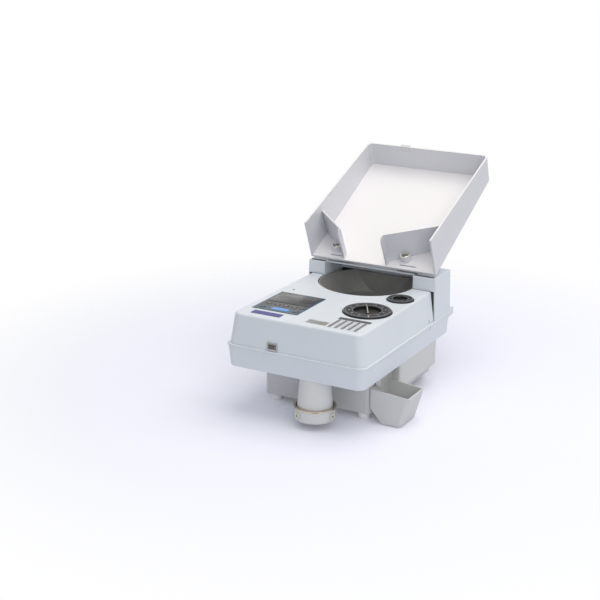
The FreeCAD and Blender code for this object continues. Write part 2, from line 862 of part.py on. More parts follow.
def fixed_rail():
    zs = (deck_top_z, deck_top_z + rail_h)
    far = track_fixed_x + rail_w
    straight = block((track_fixed_x, far), (track_front, track_rear), zs)
    low = deck_edge + sweep_edge
    sweep = prism_z([(track_fixed_x, track_front), (far, track_front), (far, track_front - sweep_out),
                     (spout_x + sweep_right, low), (spout_x - sweep_left, low),
                     (spout_x - sweep_left, low + rail_w), (spout_x + sweep_bend, low + rail_w),
                     (track_fixed_x, track_front - sweep_in)], zs)
    return joined([straight, sweep])


def moving_rail():
    zs = (deck_top_z + fit_gap, deck_top_z + moving_rail_h)
    start = track_front + rail_start
    bar = block((moving_rail_x - rail_w, moving_rail_x), (start, track_rear - rail_tail), zs)
    tip = track_front - lead_reach
    lead = prism_z([(moving_rail_x - rail_w, start), (moving_rail_x, start),
                    (moving_rail_x - lead_out, tip), (moving_rail_x - lead_out - lead_w, tip)], zs)
    follower_x = dial_x + cam_r + cam_gap + cam_follower_r
    follower = post(follower_x, dial_y, (zs[1] - follower_sink, cam_z + cam_t), cam_follower_r)
    return joined([bar, lead, follower])


def belt_roller(y):
    xs = (roller_x - roller_w / 2, roller_x + roller_w / 2)
    wheel = bar_x(xs, y, roller_z, roller_r - fit_gap)
    return wheel.cut(bar_x((xs[0] - cut_past, xs[1] + cut_past), y, roller_z, roller_shaft_r + running_gap))


def feed_belt():
    xs = (roller_x - roller_w / 2 + feed_belt_in, roller_x + roller_w / 2 - feed_belt_in)
    outer = belt_slab(roller_r + feed_belt_t, xs)
    inner = belt_slab(roller_r, (xs[0] - cut_past, xs[1] + cut_past))
    return outer.cut(inner)


def belt_slab(r, xs):
    run = block(xs, roller_ys, (roller_z - r, roller_z + r))
    return joined([run] + [bar_x(xs, y, roller_z, r) for y in roller_ys])


def feed_belt_arm():
    xs = (belt_arm_x, belt_arm_x + belt_arm_w)
    zs = (roller_z - belt_arm_r, roller_z + belt_arm_r)
    beam = joined([block(xs, roller_ys, zs)] + [bar_x(xs, y, roller_z, belt_arm_r) for y in roller_ys])
    lug_x = (xs[1] - arm_lap, track_fixed_x + rail_w)
    lug_z = (deck_top_z + rail_h, zs[1])
    lugs = [block(lug_x, (y - arm_lug_w / 2, y + arm_lug_w / 2), lug_z)
            for y in (roller_ys[0] + arm_lug_set, roller_ys[1] - arm_lug_set)]
    shaft_x = (roller_x - roller_w / 2 - arm_lap, xs[0] + arm_lap)
    shafts = [bar_x(shaft_x, y, roller_z, roller_shaft_r) for y in roller_ys]
    return joined([beam] + lugs + shafts)


def cam_face():
    """A spiral cam whose radius grows evenly with the dial's turn, with a blend back to its start."""
    turn = math.radians(dial_turn_deg)
    lead = math.radians(cam_lead_deg)

    def at(angle, r):
        return Vector(dial_x + r * math.cos(-angle), dial_y + r * math.sin(-angle), cam_z)

    angles = [turn * i / cam_steps for i in range(cam_steps + 1)]
    rising = [at(-lead, cam_r)] + [at(a, cam_r + cam_rise * a) for a in angles]
    curve = Part.BSplineCurve()
    curve.interpolate(rising[1:])
    end_r = cam_r + moving_rail_travel
    past = at(turn + lead, end_r)
    edges = [curve.toShape(), Part.Arc(rising[-1], at(turn + lead / 2, end_r), past).toShape(),
             Part.LineSegment(past, rising[0]).toShape(),
             Part.Arc(rising[0], at(-lead / 2, cam_r), rising[1]).toShape()]
    return Part.Face(Part.Wire(edges))


def dial_cam():
    cam = cam_face().extrude(Vector(0, 0, cam_t))
    low = deck_top_z - deck_t
    return joined([cam, post(dial_x, dial_y, (low, cover_top_z - dial_bore_drop), dial_shaft_r)])


def dial_bush():
    zs = (deck_top_z, deck_top_z + dial_bush_h)
    return ring_post(dial_x, dial_y, zs, dial_bush_r, dial_shaft_r + running_gap)


def scale_dial(x, y, r, rise, bore_r, dish_r, dish_deep):
    """A flat scale ring round a finger dish, bored from below for its shaft."""
    low = cover_top_z - dial_seat
    top = cover_top_z + rise
    bore_top = cover_top_z - dial_bore_drop
    chamfer = edge_round
    return turned(x, y, [(bore_r, low), (r - chamfer, low), (r, low + chamfer), (r, top - chamfer),
                         (r - chamfer, top), (dish_r + chamfer, top), (dish_r, top - chamfer),
                         (dish_r, top - dish_deep), (0, top - dish_deep), (0, bore_top), (bore_r, bore_top)])


def diameter_dial():
    dial = scale_dial(dial_x, dial_y, dial_r, dial_rise, dial_shaft_r, dial_dish_r, dial_dish_deep)
    top = cover_top_z + dial_rise
    fin = block((-dial_dish_r, dial_dish_r), (-dial_fin_w / 2, dial_fin_w / 2),
                (top - dial_dish_deep, top + dial_fin_rise))
    fin = fin.makeFillet(dial_fin_w / 4, edges_at_top(fin, top + dial_fin_rise, lambda c: True))
    fin.rotate(Vector(0, 0, 0), Vector(0, 0, 1), dial_fin_turn)
    fin.translate(Vector(dial_x, dial_y, 0))
    return joined([dial, fin])


def thickness_dial():
    return scale_dial(small_dial_x, small_dial_y, small_dial_r, small_dial_rise, gate_screw_r,
                      small_dial_dish_r, small_dial_dish_deep)


def gate_screw():
    zs = (gate_low_z() + gate_h - gate_screw_in, cover_top_z - dial_bore_drop)
    return post(small_dial_x, small_dial_y, zs, gate_screw_r)


def gate_low_z():
    return coin_top_z - gate_overlap


def thickness_gate():
    low = gate_low_z()
    top = low + gate_h
    left = small_dial_x - gate_aside
    plate = block((left, left + gate_w), (small_dial_y - gate_t / 2, small_dial_y + gate_t / 2), (low, top))
    bore_z = (top - gate_screw_in - gate_travel - gate_end_gap, top + cut_past)
    return plate.cut(post(small_dial_x, small_dial_y, bore_z, gate_screw_r + running_gap))


def coin_sensor():
    seat = deck_top_z + rail_h
    ys = (track_front - sensor_front, track_front - sensor_gap)
    far = track_fixed_x + rail_w
    return joined([block((track_fixed_x - sensor_reach, far), ys, (seat, seat + sensor_h)),
                   block((track_fixed_x - sensor_back, far), ys, (seat, seat + sensor_back_h))])


def coil_place():
    return (moving_rail_x - coil_aside - coil_len, track_front - coil_ahead)


def stop_solenoid():
    x0, y = coil_place()
    end = x0 + coil_len
    frame = block((x0, end), (y - coil_w / 2, y + coil_w / 2), (deck_top_z, deck_top_z + coil_w))
    bore = bar_x((x0 + coil_end_t, end + cut_past), y, deck_top_z + coil_w / 2, plunger_r + running_gap)
    return frame.cut(bore)


def solenoid_plunger():
    x0, y = coil_place()
    tip = x0 + coil_len + plunger_out
    z = deck_top_z + coil_w / 2
    rod = bar_x((x0 + plunger_in, tip), y, z, plunger_r)
    return joined([rod, bar_x((tip - plunger_head_t, tip), y, z, plunger_head_r)])


def reject_chute():
    """A sloped trough from the slot in the deck, with a short channel down beside the base."""
    ys = (reject_slot_front, reject_slot_rear)
    hole = chute_hole_x()
    near = hole[0] + 2 * fit_gap
    far = hole[1] - fit_gap
    top = seam_z - deck_t
    low = shell_bottom_z - chute_drop
    start = track_fixed_x - reject_slot_w
    back = prism_y([(start - chute_t, top), (start, top),
                    (near + chute_t, shell_bottom_z), (near, shell_bottom_z)], ys)
    front_wall = block((far - chute_t, far), ys, (shell_bottom_z, top))
    side_ys = ((ys[0], ys[0] + chute_t), (ys[1] - chute_t, ys[1]))
    side = [(start - chute_t, top), (far, top), (far, shell_bottom_z), (near, shell_bottom_z)]
    sides = [prism_y(side, span) for span in side_ys]
    channel_z = (low, shell_bottom_z + chute_lap)
    channel = [block((near, near + chute_t), ys, channel_z)]
    channel += [block((near, near + chute_cheek), span, channel_z) for span in side_ys]
    return joined([back, front_wall] + sides + channel)


def display_panel():
    low = cover_top_z - panel_sink
    plate = block(panel_x, panel_y, (low, low + panel_t))
    return plate.makeFillet(panel_edge, edges_at_top(plate, low + panel_t, lambda c: True))


def board_z():
    return cover_inner_z - display_board_drop


def inside(span, inset):
    return (span[0] + inset, span[1] - inset)


def display_board_holes():
    return [(x, y) for x in inside(panel_x, leg_inset) for y in inside(panel_y, leg_inset)]


def display_board():
    low = board_z()
    plate = block(inside(panel_x, display_board_in), inside(panel_y, display_board_in), (low, low + board_t))
    chip = block([panel_x[0] + x for x in chip_x], [panel_y[0] + y for y in chip_y],
                 (low - chip_h, low + chip_lap))
    return joined([plate, chip])


def thin_plate(xs, ys):
    return block(xs, ys, (cover_top_z, cover_top_z + plate_t))


def cover_front_y(z):
    return cover_inset + cover_front_lean * (z - seam_z) / (cover_top_z - seam_z)


def latch_shape(front_out, back_in, grow):
    """A plate that follows the lean of the cover's front face."""
    xs = (latch_x - latch_w / 2 + grow, latch_x + latch_w / 2 - grow)
    zs = (latch_z[0] + grow, latch_z[1] - grow)
    low_y, high_y = [cover_front_y(z) for z in zs]
    return prism_x([(low_y - front_out, zs[0]), (low_y + back_in, zs[0]),
                    (high_y + back_in, zs[1]), (high_y - front_out, zs[1])], xs)


def latch_bezel():
    plate = latch_shape(bezel_proud, 0.0, 0.0)
    return plate.cut(latch_shape(bezel_cut, bezel_cut, latch_t))


def latch_button():
    body = latch_shape(button_proud, wall + button_in, latch_t + button_gap)
    middle = (latch_z[0] + latch_z[1]) / 2
    groove = block((latch_x - latch_w / 2 + groove_inset, latch_x + latch_w / 2 - groove_inset),
                   (-button_proud, cover_front_y(middle) - groove_floor),
                   (middle - groove_w / 2, middle + groove_w / 2))
    return body.cut(groove)


def on_tray(shape):
    """Turns a shape drawn with the tray's floor level, lip at y = 0, into the tray's place."""
    placed = shape.copy()
    placed.rotate(Vector(0, 0, 0), Vector(1, 0, 0), tray_tilt_deg)
    placed.translate(Vector(0, tray_lip_y, tray_lip_z))
    return placed


def tray_point(u, v):
    """The (y, z) of a point at distance u up the tray's floor and v above it."""
    return (tray_lip_y + u * math.cos(tray_tilt) - v * math.sin(tray_tilt),
            tray_lip_z + u * math.sin(tray_tilt) + v * math.cos(tray_tilt))


def tray_hinge():
    return tray_point(hinge_u, -knuckle_r)


def coin_tray():
    def side(inset, extra):
        lean = tray_end_lean * (1 + extra / tray_rear_h)
        return [(-extra, inset), (tray_floor_len - inset, inset),
                (tray_floor_len - inset + lean, tray_rear_h + extra),
                (tray_end_lean - extra, tray_front_h + extra)]

    outer = prism_x(side(0.0, 0.0), (-half_tray, half_tray))
    rear_edges = [e for e in outer.Edges if all(v.Y > tray_floor_len - 1.0 for v in e.Vertexes)
                  and abs(e.Vertexes[0].Z - e.Vertexes[1].Z) > 1.0]
    outer = outer.makeFillet(tray_corner, rear_edges)
    inner = prism_x(side(tray_wall, tray_cut_past), (-half_tray + tray_wall, half_tray - tray_wall))
    inner_edges = [e for e in inner.Edges if all(v.Y > tray_floor_len - tray_wall - 1.0 for v in e.Vertexes)
                   and abs(e.Vertexes[0].Z - e.Vertexes[1].Z) > 1.0]
    inner = inner.makeFillet(tray_corner - tray_wall, inner_edges)
    through = (-cut_past, tray_wall + cut_past)
    holes = [post(x, hinge_screw_u, through, screw_r) for x in hinge_screw_x]
    slots = [block(inside(span, lip_slot_inset), lip_slot_u, through) for span in hinge_spans]
    return on_tray(outer.cut([inner] + holes + slots))


def guide_wing(wall_x, wall_u, outlet, screw_x):
    """A bent sheet from the side wall down to the outlet, with a short return and a screw well."""
    sx = 1.0 if wall_x > 0 else -1.0
    ox, ou = outlet
    slope = math.atan2(wall_u - ou, abs(wall_x - ox))
    skew = wing_t / math.cos(slope)
    turn = wing_t * math.tan((math.pi / 2 - slope) / 2)
    outline = [(wall_x, wall_u), (ox, ou), (ox, ou - outlet_flange), (ox + sx * wing_t, ou - outlet_flange),
               (ox + sx * wing_t, ou - turn), (wall_x, wall_u - skew)]
    top = tray_wall + wing_h + wing_rise
    sheet = prism_z(outline, (tray_wall, top))
    slant = [(wall_x, tray_wall + wing_h), (ox + sx * wing_t, top),
             (ox + sx * wing_t, top + cut_past), (wall_x, top + cut_past)]
    sheet = sheet.cut(prism_y(slant, (ou - outlet_flange - cut_past, wall_u + cut_past)))
    well = ring_post(screw_x, hinge_screw_u, (tray_wall, tray_wall + well_h), well_r, well_r - well_wall)
    well = well.cut(block((screw_x - well_r - cut_past, screw_x + well_r + cut_past),
                          (hinge_screw_u + well_back, hinge_screw_u + well_r + cut_past),
                          (tray_wall - cut_past, top)))
    keep = prism_z([(wall_x, wall_u - skew), (ox + sx * wing_t, ou - turn),
                    (ox + sx * wing_t, -wing_past), (wall_x, -wing_past)], (tray_wall - cut_past, top))
    corner = [e for e in sheet.Edges if abs(e.Vertexes[0].X - e.Vertexes[-1].X) > 1.0
              and all(abs(v.Y - (ou - outlet_flange)) < 0.01 and v.Z > top - 0.01 for v in e.Vertexes)]
    sheet = sheet.makeFillet(wing_round, corner)
    return on_tray(joined([sheet, well.common(keep)]))


def outer_knuckles(span):
    """The two x spans of a hinge's fixed knuckles, at either side of the tray's own."""
    a, b = span
    third = (b - a) / 3.0
    return [(a, a + third - knuckle_gap), (b - third + knuckle_gap, b)]


def tray_hinge_leaves():
    y, z = tray_hinge()
    leaves = []
    for (a, b), screw in zip(hinge_spans, hinge_screw_x):
        third = (b - a) / 3.0
        xs = (a + third, b - third)
        leaf = joined([block(xs, (hinge_u, leaf_neck_u), (-leaf_t, 0.0)),
                       block((a, b), (leaf_plate_u, leaf_len), (-leaf_t, 0.0))])
        leaf = on_tray(leaf.cut(post(screw, hinge_screw_u, (-leaf_t - cut_past, cut_past), screw_r)))
        leaf = joined([leaf, bar_x(xs, y, z, knuckle_r)])
        floor = on_tray(block((a - hinge_past, b + hinge_past), (-hinge_past, leaf_len),
                              (0.0, knuckle_r + knuckle_clear)))
        leaves.append(leaf.cut([floor, bar_x(xs, y, z, hinge_pin_r + running_gap)]))
    return Part.makeCompound(leaves)


def tray_hinge_base():
    y, z = tray_hinge()
    plates = []
    for a, b in hinge_spans:
        pieces = [block((a, b), (y + knuckle_r + knuckle_apart, y + hinge_plate_len),
                        (housing_top_z, housing_top_z + leaf_t))]
        for xs in outer_knuckles((a, b)):
            pieces.append(bar_x(xs, y, z, knuckle_r))
            pieces.append(block(xs, (y, y + knuckle_r + knuckle_clear), (housing_top_z, z)))
        plate = joined(pieces)
        floor = on_tray(block((a - hinge_past, b + hinge_past), (-hinge_past_front, leaf_len),
                              (-fit_gap, tray_cut_past)))
        plates.append(plate.cut([bar_x((a, b), y, z, hinge_pin_r), floor]))
    return Part.makeCompound(plates)


def tray_hinge_pins():
    y, z = tray_hinge()
    return Part.makeCompound([bar_x(span, y, z, hinge_pin_r) for span in hinge_spans])


def tray_screws():
    screws = []
    for x in hinge_screw_x:
        top = tray_wall + screw_head_h
        head = turned(x, hinge_screw_u, [(0, tray_wall), (screw_head_r, tray_wall),
                                         (screw_head_r - screw_head_lean, tray_wall + screw_head_h * 0.7),
                                         (screw_head_r * 0.5, top), (0, top)])
        shank = post(x, hinge_screw_u, (-leaf_t - screw_past, tray_wall), screw_r)
        screws.append(on_tray(joined([head, shank])))
    return Part.makeCompound(screws)


def tray_rests():
    """Two ribs on the housing that carry the tray's floor."""
    def under(y):
        return tray_lip_z + (y - tray_lip_y) * math.tan(tray_tilt) - fit_gap

    shapes = []
    for side in (-1, 1):
        xs = (side * rest_x - rest_w / 2, side * rest_x + rest_w / 2)
        y1 = shell_depth - rest_rear_set
        y0 = y1 - rest_len
        shapes.append(prism_x([(y0, housing_top_z), (y1, housing_top_z),
                               (y1, under(y1)), (y0, under(y0))], xs))
    return Part.makeCompound(shapes)


def rim_clip():
    """A folded clip that straddles the rim of the tray's far wall."""
    xs = (clip_x - clip_w / 2, clip_x + clip_w / 2)
    lean = tray_end_lean / tray_rear_h
    top = tray_rear_h
    y_out = tray_floor_len + tray_end_lean

    def face(v):
        return y_out - (top - v) * lean

    low = top - clip_h
    saddle = prism_x([(face(low) - tray_wall - clip_t, low), (face(low) + clip_t, low),
                      (face(top) + clip_t, top + clip_t), (face(top) - tray_wall - clip_t, top + clip_t)], xs)
    return on_tray(saddle).cut(coin_tray())


def round_outer(solid, x0, r):
    """Rounds the two upright edges at the far side of the box."""
    far = x0 + (box_bottom_in + box_bottom_out) / 2
    tall = (box_top_out_z - box_bottom_z) / 2
    uprights = [e for e in solid.Edges if all(v.X > far for v in e.Vertexes)
                and abs(e.Vertexes[0].Z - e.Vertexes[-1].Z) > tall]
    return solid.makeFillet(r, uprights)


def reject_box():
    x0 = half_base + fit_gap
    outline = [(x0, box_top_in_z), (x0, box_chamfer_z), (x0 + box_bottom_in, box_bottom_z),
               (x0 + box_bottom_out, box_bottom_z), (x0 + box_reach, box_top_out_z)]
    outer = round_outer(prism_y(outline, (box_front, box_rear)), x0, box_corner)
    wire = Part.makePolygon([Vector(x, box_front + box_wall, z) for x, z in outline + outline[:1]])
    inner_face = Part.Face(wire).makeOffset2D(-box_wall)
    inner = inner_face.extrude(Vector(0, box_rear - box_front - 2 * box_wall, 0))
    inner = round_outer(inner, x0, box_corner - box_wall)
    raised = inner.copy()
    raised.translate(Vector(0, 0, 2 * box_wall))
    hook_x = (x0 - hook_len, x0 + hook_lap)
    hooks = [block(hook_x, (y, y + hook_w), (hook_z(), hook_z() + hook_h)) for y in hook_ys()]
    return joined([outer.cut([inner, raised])] + hooks)


def spout():
    end_in = spout_end_r - spout_wall
    neck_in = spout_neck_r - spout_wall
    top = seam_z
    outline = [(neck_in, top), (spout_neck_r, top), (spout_neck_r, shell_floor_z + wall),
               (spout_flange_r, shell_floor_z + wall), (spout_flange_r, shell_floor_z),
               (spout_neck_r, shell_floor_z), (spout_neck_r, shell_bottom_z), (spout_top_r, shell_bottom_z),
               (spout_end_r, spout_cone_z), (spout_end_r, collar_z), (spout_lip_r, collar_z),
               (spout_lip_r, spout_end_z), (end_in, spout_end_z), (end_in, spout_cone_z),
               (neck_in, shell_bottom_z)]
    return turned(spout_x, spout_y, outline)


def stud_at(angle, r):
    a = math.radians(angle)
    return Vector(spout_x + r * math.cos(a), spout_y + r * math.sin(a), collar_z + stud_rise)


def stud_bar(angle, r0, r1, r):
    a = math.radians(angle)
    return Part.makeCylinder(r, r1 - r0, stud_at(angle, r0), Vector(math.cos(a), math.sin(a), 0))


def bag_collar():
    band = ring_post(spout_x, spout_y, (collar_z, collar_z + collar_h), collar_out_r, collar_in_r)
    return band.cut([stud_bar(a, collar_in_r - 2 * cut_past, collar_out_r + 2 * cut_past, stud_r)
                     for a in stud_angles])


def collar_ring():
    """A bright band on the collar's top edge, notched at the front."""
    low = collar_z + collar_h
    band = ring_post(spout_x, spout_y, (low, low + ring_h), ring_out_r, collar_in_r)
    middle = low + ring_h / 2
    slot = block((ring_out_r - ring_slot_deep, ring_out_r + cut_past), (-ring_slot_w / 2, ring_slot_w / 2),
                 (middle - ring_slot_h / 2, middle + ring_slot_h / 2))
    slot.rotate(Vector(0, 0, 0), Vector(0, 0, 1), ring_slot_turn)
    slot.translate(Vector(spout_x, spout_y, 0))
    return band.cut(slot)


def collar_studs():
    studs = []
    for a in stud_angles:
        shank = stud_bar(a, spout_end_r + fit_gap, collar_out_r + stud_head_t, stud_r)
        face = collar_out_r + stud_seat + stud_head_t
        head = stud_bar(a, collar_out_r + stud_seat, face, stud_head_r)
        hole = stud_bar(a, face - stud_hole_deep, face + cut_past, stud_hole_r)
        studs.append(joined([shank, head]).cut(hole))
    return Part.makeCompound(studs)


def mains_inlet():
    xs = (inlet_x - inlet_w / 2, inlet_x + inlet_w / 2)
    zs = (rear_fit_z - inlet_h / 2, rear_fit_z + inlet_h / 2)
    f = inlet_flange
    body = block(xs, (shell_depth - inlet_deep, shell_depth), zs)
    plate = block((xs[0] - f, xs[1] + f), (shell_depth, shell_depth + inlet_flange_t), (zs[0] - f, zs[1] + f))
    cup_floor = shell_depth - inlet_deep + inlet_back_t
    cup = block(inside(xs, inlet_wall), (cup_floor, shell_depth + inlet_flange_t + cut_past),
                inside(zs, inlet_wall))
    pin_y = (cup_floor - pin_root, shell_depth - pin_set_back)
    pins = [block((inlet_x + x - pin_t / 2, inlet_x + x + pin_t / 2), pin_y,
                  (rear_fit_z + z - pin_h / 2, rear_fit_z + z + pin_h / 2)) for x, z in pin_places]
    return joined([joined([body, plate]).cut(cup)] + pins)


def switch_frame():
    xs = (switch_x - switch_w / 2, switch_x + switch_w / 2)
    zs = (rear_fit_z - switch_h / 2, rear_fit_z + switch_h / 2)
    body = block(xs, (shell_depth - switch_deep, shell_depth), zs)
    plate = block(inside(xs, -switch_flange), (shell_depth, shell_depth + switch_flange),
                  inside(zs, -switch_flange))
    well_y = (shell_depth - switch_well_deep, shell_depth + switch_flange + cut_past)
    well = block(inside(xs, switch_wall), well_y, inside(zs, switch_wall))
    axle = bar_x(xs, shell_depth - rocker_axle_in, rear_fit_z, rocker_axle_r)
    return joined([joined([body, plate]).cut(well), axle])


def rocker():
    xs = inside((switch_x - switch_w / 2, switch_x + switch_w / 2), switch_wall + fit_gap)
    half = switch_h / 2 - rocker_end_set
    root = half * rocker_taper
    y = shell_depth
    out = y + rocker_rise
    shape = prism_x([(y - rocker_deep, rear_fit_z - root), (out, rear_fit_z - half),
                     (out - rocker_dip, rear_fit_z), (out, rear_fit_z + half),
                     (y - rocker_deep, rear_fit_z + root)], xs)
    axle_r = rocker_axle_r + running_gap
    return shape.cut(bar_x(inside(xs, -cut_past), y - rocker_axle_in, rear_fit_z, axle_r))


def fuse_holder():
    face = shell_depth + fuse_cap_t
    cap = joined([bar_y(fuse_x, (shell_depth - fuse_len, shell_depth), rear_fit_z, fuse_r - fuse_slip),
                  bar_y(fuse_x, (shell_depth, face), rear_fit_z, fuse_r + fuse_cap_out)])
    slot = block((fuse_x - fuse_slot_len / 2, fuse_x + fuse_slot_len / 2),
                 (face - fuse_slot_deep, face + cut_past),
                 (rear_fit_z - fuse_slot_w / 2, rear_fit_z + fuse_slot_w / 2))
    return cap.cut(slot)


def rear_spacers():
    """Two tapered arms that keep the machine's back off a wall."""
    low, high = spacer_z
    tip = shell_depth + spacer_reach
    arms = []
    for side in (-1, 1):
        xs = (side * (spacer_x - spacer_w / 2), side * (spacer_x + spacer_w / 2))
        arm = prism_x([(shell_depth, low), (tip, low + spacer_taper), (tip, high - spacer_taper),
                       (shell_depth, high)], xs)
        arms.append(arm)
    return Part.makeCompound(arms)


def board(xs, ys, seat_z, parts):
    """A circuit board on four legs, with (x, y, width, depth, height) blocks set out from its corner."""
    low = seat_z + standoff_h
    top = low + board_t
    plate = block(xs, ys, (low, top))
    legs = [post(x, y, (seat_z, low + board_t / 2), standoff_r)
            for x in inside(xs, leg_inset) for y in inside(ys, leg_inset)]
    blocks = [block((xs[0] + x, xs[0] + x + w), (ys[0] + y, ys[0] + y + d), (top - board_t / 2, top + h))
              for x, y, w, d, h in parts]
    return joined([plate] + legs + blocks)


def control_board():
    ys = (control_front, control_front + control_size[1])
    return board((control_x, control_x + control_size[0]), ys, deck_top_z, control_blocks)


def power_board():
    rear = base_rear - power_rear_set
    return board((power_x, power_x + power_size[0]), (rear - power_size[1], rear), base_inner_z, power_blocks)


def transformer():
    rear = base_rear - core_rear_set
    xs = (core_x, core_x + core_size[0])
    ys = (rear - core_size[1], rear)
    core = block(xs, ys, (base_inner_z, base_inner_z + core_size[2]))
    coil = block((xs[0] + winding_in, xs[1] - winding_in), (ys[0] - winding_out, ys[1] + winding_out),
                 (base_inner_z + winding_lift, base_inner_z + core_size[2] - winding_lift))
    return joined([core, coil])


builders = {
    "base_pan": base_pan,
    "rubber_feet": rubber_feet,
    "lower_shell": lower_shell,
    "rear_housing": rear_housing,
    "deck_plate": deck_plate,
    "hopper_bowl": hopper_bowl,
    "disc_bearing": disc_bearing,
    "drive_motor": drive_motor,
    "drive_belt": drive_belt,
    "fixed_rail": fixed_rail,
    "feed_belt_arm": feed_belt_arm,
    "feed_belt": feed_belt,
    "dial_bush": dial_bush,
    "coin_sensor": coin_sensor,
    "stop_solenoid": stop_solenoid,
    "reject_chute": reject_chute,
    "spout": spout,
    "cover_hinge_posts": cover_hinge_posts,
    "cover_hinge_pins": cover_hinge_pins,
    "tray_hinge_base": tray_hinge_base,
    "tray_hinge_pins": tray_hinge_pins,
    "tray_rests": tray_rests,
    "mains_inlet": mains_inlet,
    "switch_frame": switch_frame,
    "fuse_holder": fuse_holder,
    "rear_spacers": rear_spacers,
    "control_board": control_board,
    "power_board": power_board,
    "transformer": transformer,
    "feed_disc": feed_disc,
    "disc_shaft": disc_shaft,
    "disc_pulley": lambda: pulley(bowl_x, bowl_y, disc_pulley_r, disc_shaft_r),
    "motor_pulley": motor_pulley,
    "front_roller": lambda: belt_roller(roller_ys[0]),
    "rear_roller": lambda: belt_roller(roller_ys[1]),
    "moving_rail": moving_rail,
    "diameter_dial": diameter_dial,
    "dial_cam": dial_cam,
    "thickness_dial": thickness_dial,
    "gate_screw": gate_screw,
    "thickness_gate": thickness_gate,
    "solenoid_plunger": solenoid_plunger,
    "rocker": rocker,
    "top_cover": top_cover,
    "display_panel": display_panel,
    "display_board": display_board,
    "blank_strip": lambda: thin_plate(strip_x, strip_y),
    "chart_plate": lambda: thin_plate(chart_x, chart_y),
    "latch_bezel": latch_bezel,
    "latch_button": latch_button,
    "coin_tray": coin_tray,
    "guide_wing_left": lambda: guide_wing(-half_tray + tray_wall, left_wing_u, left_outlet, hinge_screw_x[0]),
    "guide_wing_right": lambda: guide_wing(half_tray - tray_wall, right_wing_u, right_outlet,
                                           hinge_screw_x[1]),
    "tray_hinge_leaves": tray_hinge_leaves,
    "tray_screws": tray_screws,
    "rim_clip": rim_clip,
    "reject_box": reject_box,
    "bag_collar": bag_collar,
    "collar_ring": collar_ring,
    "collar_studs": collar_studs,
}

shapes = {name: make() for name, make in builders.items()}
whole = Part.makeCompound(list(shapes.values())).optimalBoundingBox(False, False)
centre_shift = Vector(-(whole.XMin + whole.XMax) / 2, -(whole.YMin + whole.YMax) / 2, -whole.ZMin)

os.makedirs("parts", exist_ok=True)
for name, shape in shapes.items():
    shape.translate(centre_shift)
    shape.exportStep("parts/" + name + ".step")
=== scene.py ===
import math

import bmesh
import bpy
from mathutils import Matrix, Vector


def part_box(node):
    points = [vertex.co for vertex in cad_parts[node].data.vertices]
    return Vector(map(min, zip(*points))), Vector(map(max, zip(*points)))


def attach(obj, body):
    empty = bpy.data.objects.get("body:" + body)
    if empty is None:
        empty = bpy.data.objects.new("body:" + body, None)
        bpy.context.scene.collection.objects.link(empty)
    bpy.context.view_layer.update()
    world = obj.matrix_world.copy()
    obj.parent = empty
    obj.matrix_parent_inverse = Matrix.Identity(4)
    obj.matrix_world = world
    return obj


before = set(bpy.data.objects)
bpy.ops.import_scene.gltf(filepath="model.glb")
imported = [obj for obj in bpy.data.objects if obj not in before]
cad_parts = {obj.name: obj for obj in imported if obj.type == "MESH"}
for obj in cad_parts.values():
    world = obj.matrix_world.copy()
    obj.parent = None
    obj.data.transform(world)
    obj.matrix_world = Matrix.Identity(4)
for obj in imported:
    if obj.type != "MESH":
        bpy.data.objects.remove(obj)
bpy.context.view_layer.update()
print("frame loaded:", len(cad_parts), "nodes")

mm = 0.001
baseLow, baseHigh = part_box("base_pan")
centreX = (baseLow.x + baseHigh.x) / 2  # the machine's centre plane
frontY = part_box("lower_shell")[0].y  # front of the lip
trayTilt = math.radians(27.7)  # how far the tray leans at rest


def spot(x, y, z):  # mm right of the centre plane, behind the lip and above the floor
    return Vector((centreX + x * mm, frontY + y * mm, z * mm))


def boxMm(node):  # a node's lowest and highest corner, measured as spot() does
    return [Vector(((c.x - centreX) / mm, (c.y - frontY) / mm, c.z / mm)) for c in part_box(node)]


def topMiddle(node):  # middle of a node's top face
    low, high = boxMm(node)
    return (low.x + high.x) / 2, (low.y + high.y) / 2, high.z


# finishes
def linear(hexText):  # sRGB hex to the linear values that the shaders use
    parts = [int(hexText[i:i + 2], 16) / 255 for i in (1, 3, 5)]
    return (*[p / 12.92 if p <= 0.04045 else ((p + 0.055) / 1.055) ** 2.4 for p in parts], 1.0)


def newFinish(name):
    mat = bpy.data.materials.new(name)
    mat.use_nodes = True
    mat.node_tree.nodes.clear()
    return mat


def addNode(mat, kind, settings=None, links=None):  # inputs by name or number, the rest as attributes
    node = mat.node_tree.nodes.new(kind)
    for key, value in (settings or {}).items():
        if isinstance(key, int) or key in node.inputs:
            node.inputs[key].default_value = value
        else:
            setattr(node, key, value)
    for key, source in (links or {}).items():
        mat.node_tree.links.new(source, node.inputs[key])
    return node


edgeStart, edgeFull = 0.995, 0.9  # cosine between the rounded normal and the face's own, along an edge
flatStart, flatFull = 0.9, 0.99  # cosine between a face and the tray's floor, where they count as one and take the floor's painted light
grainRise, lineRise = 1 / 4, 1 / 8  # height of a grain or a worked line against its width


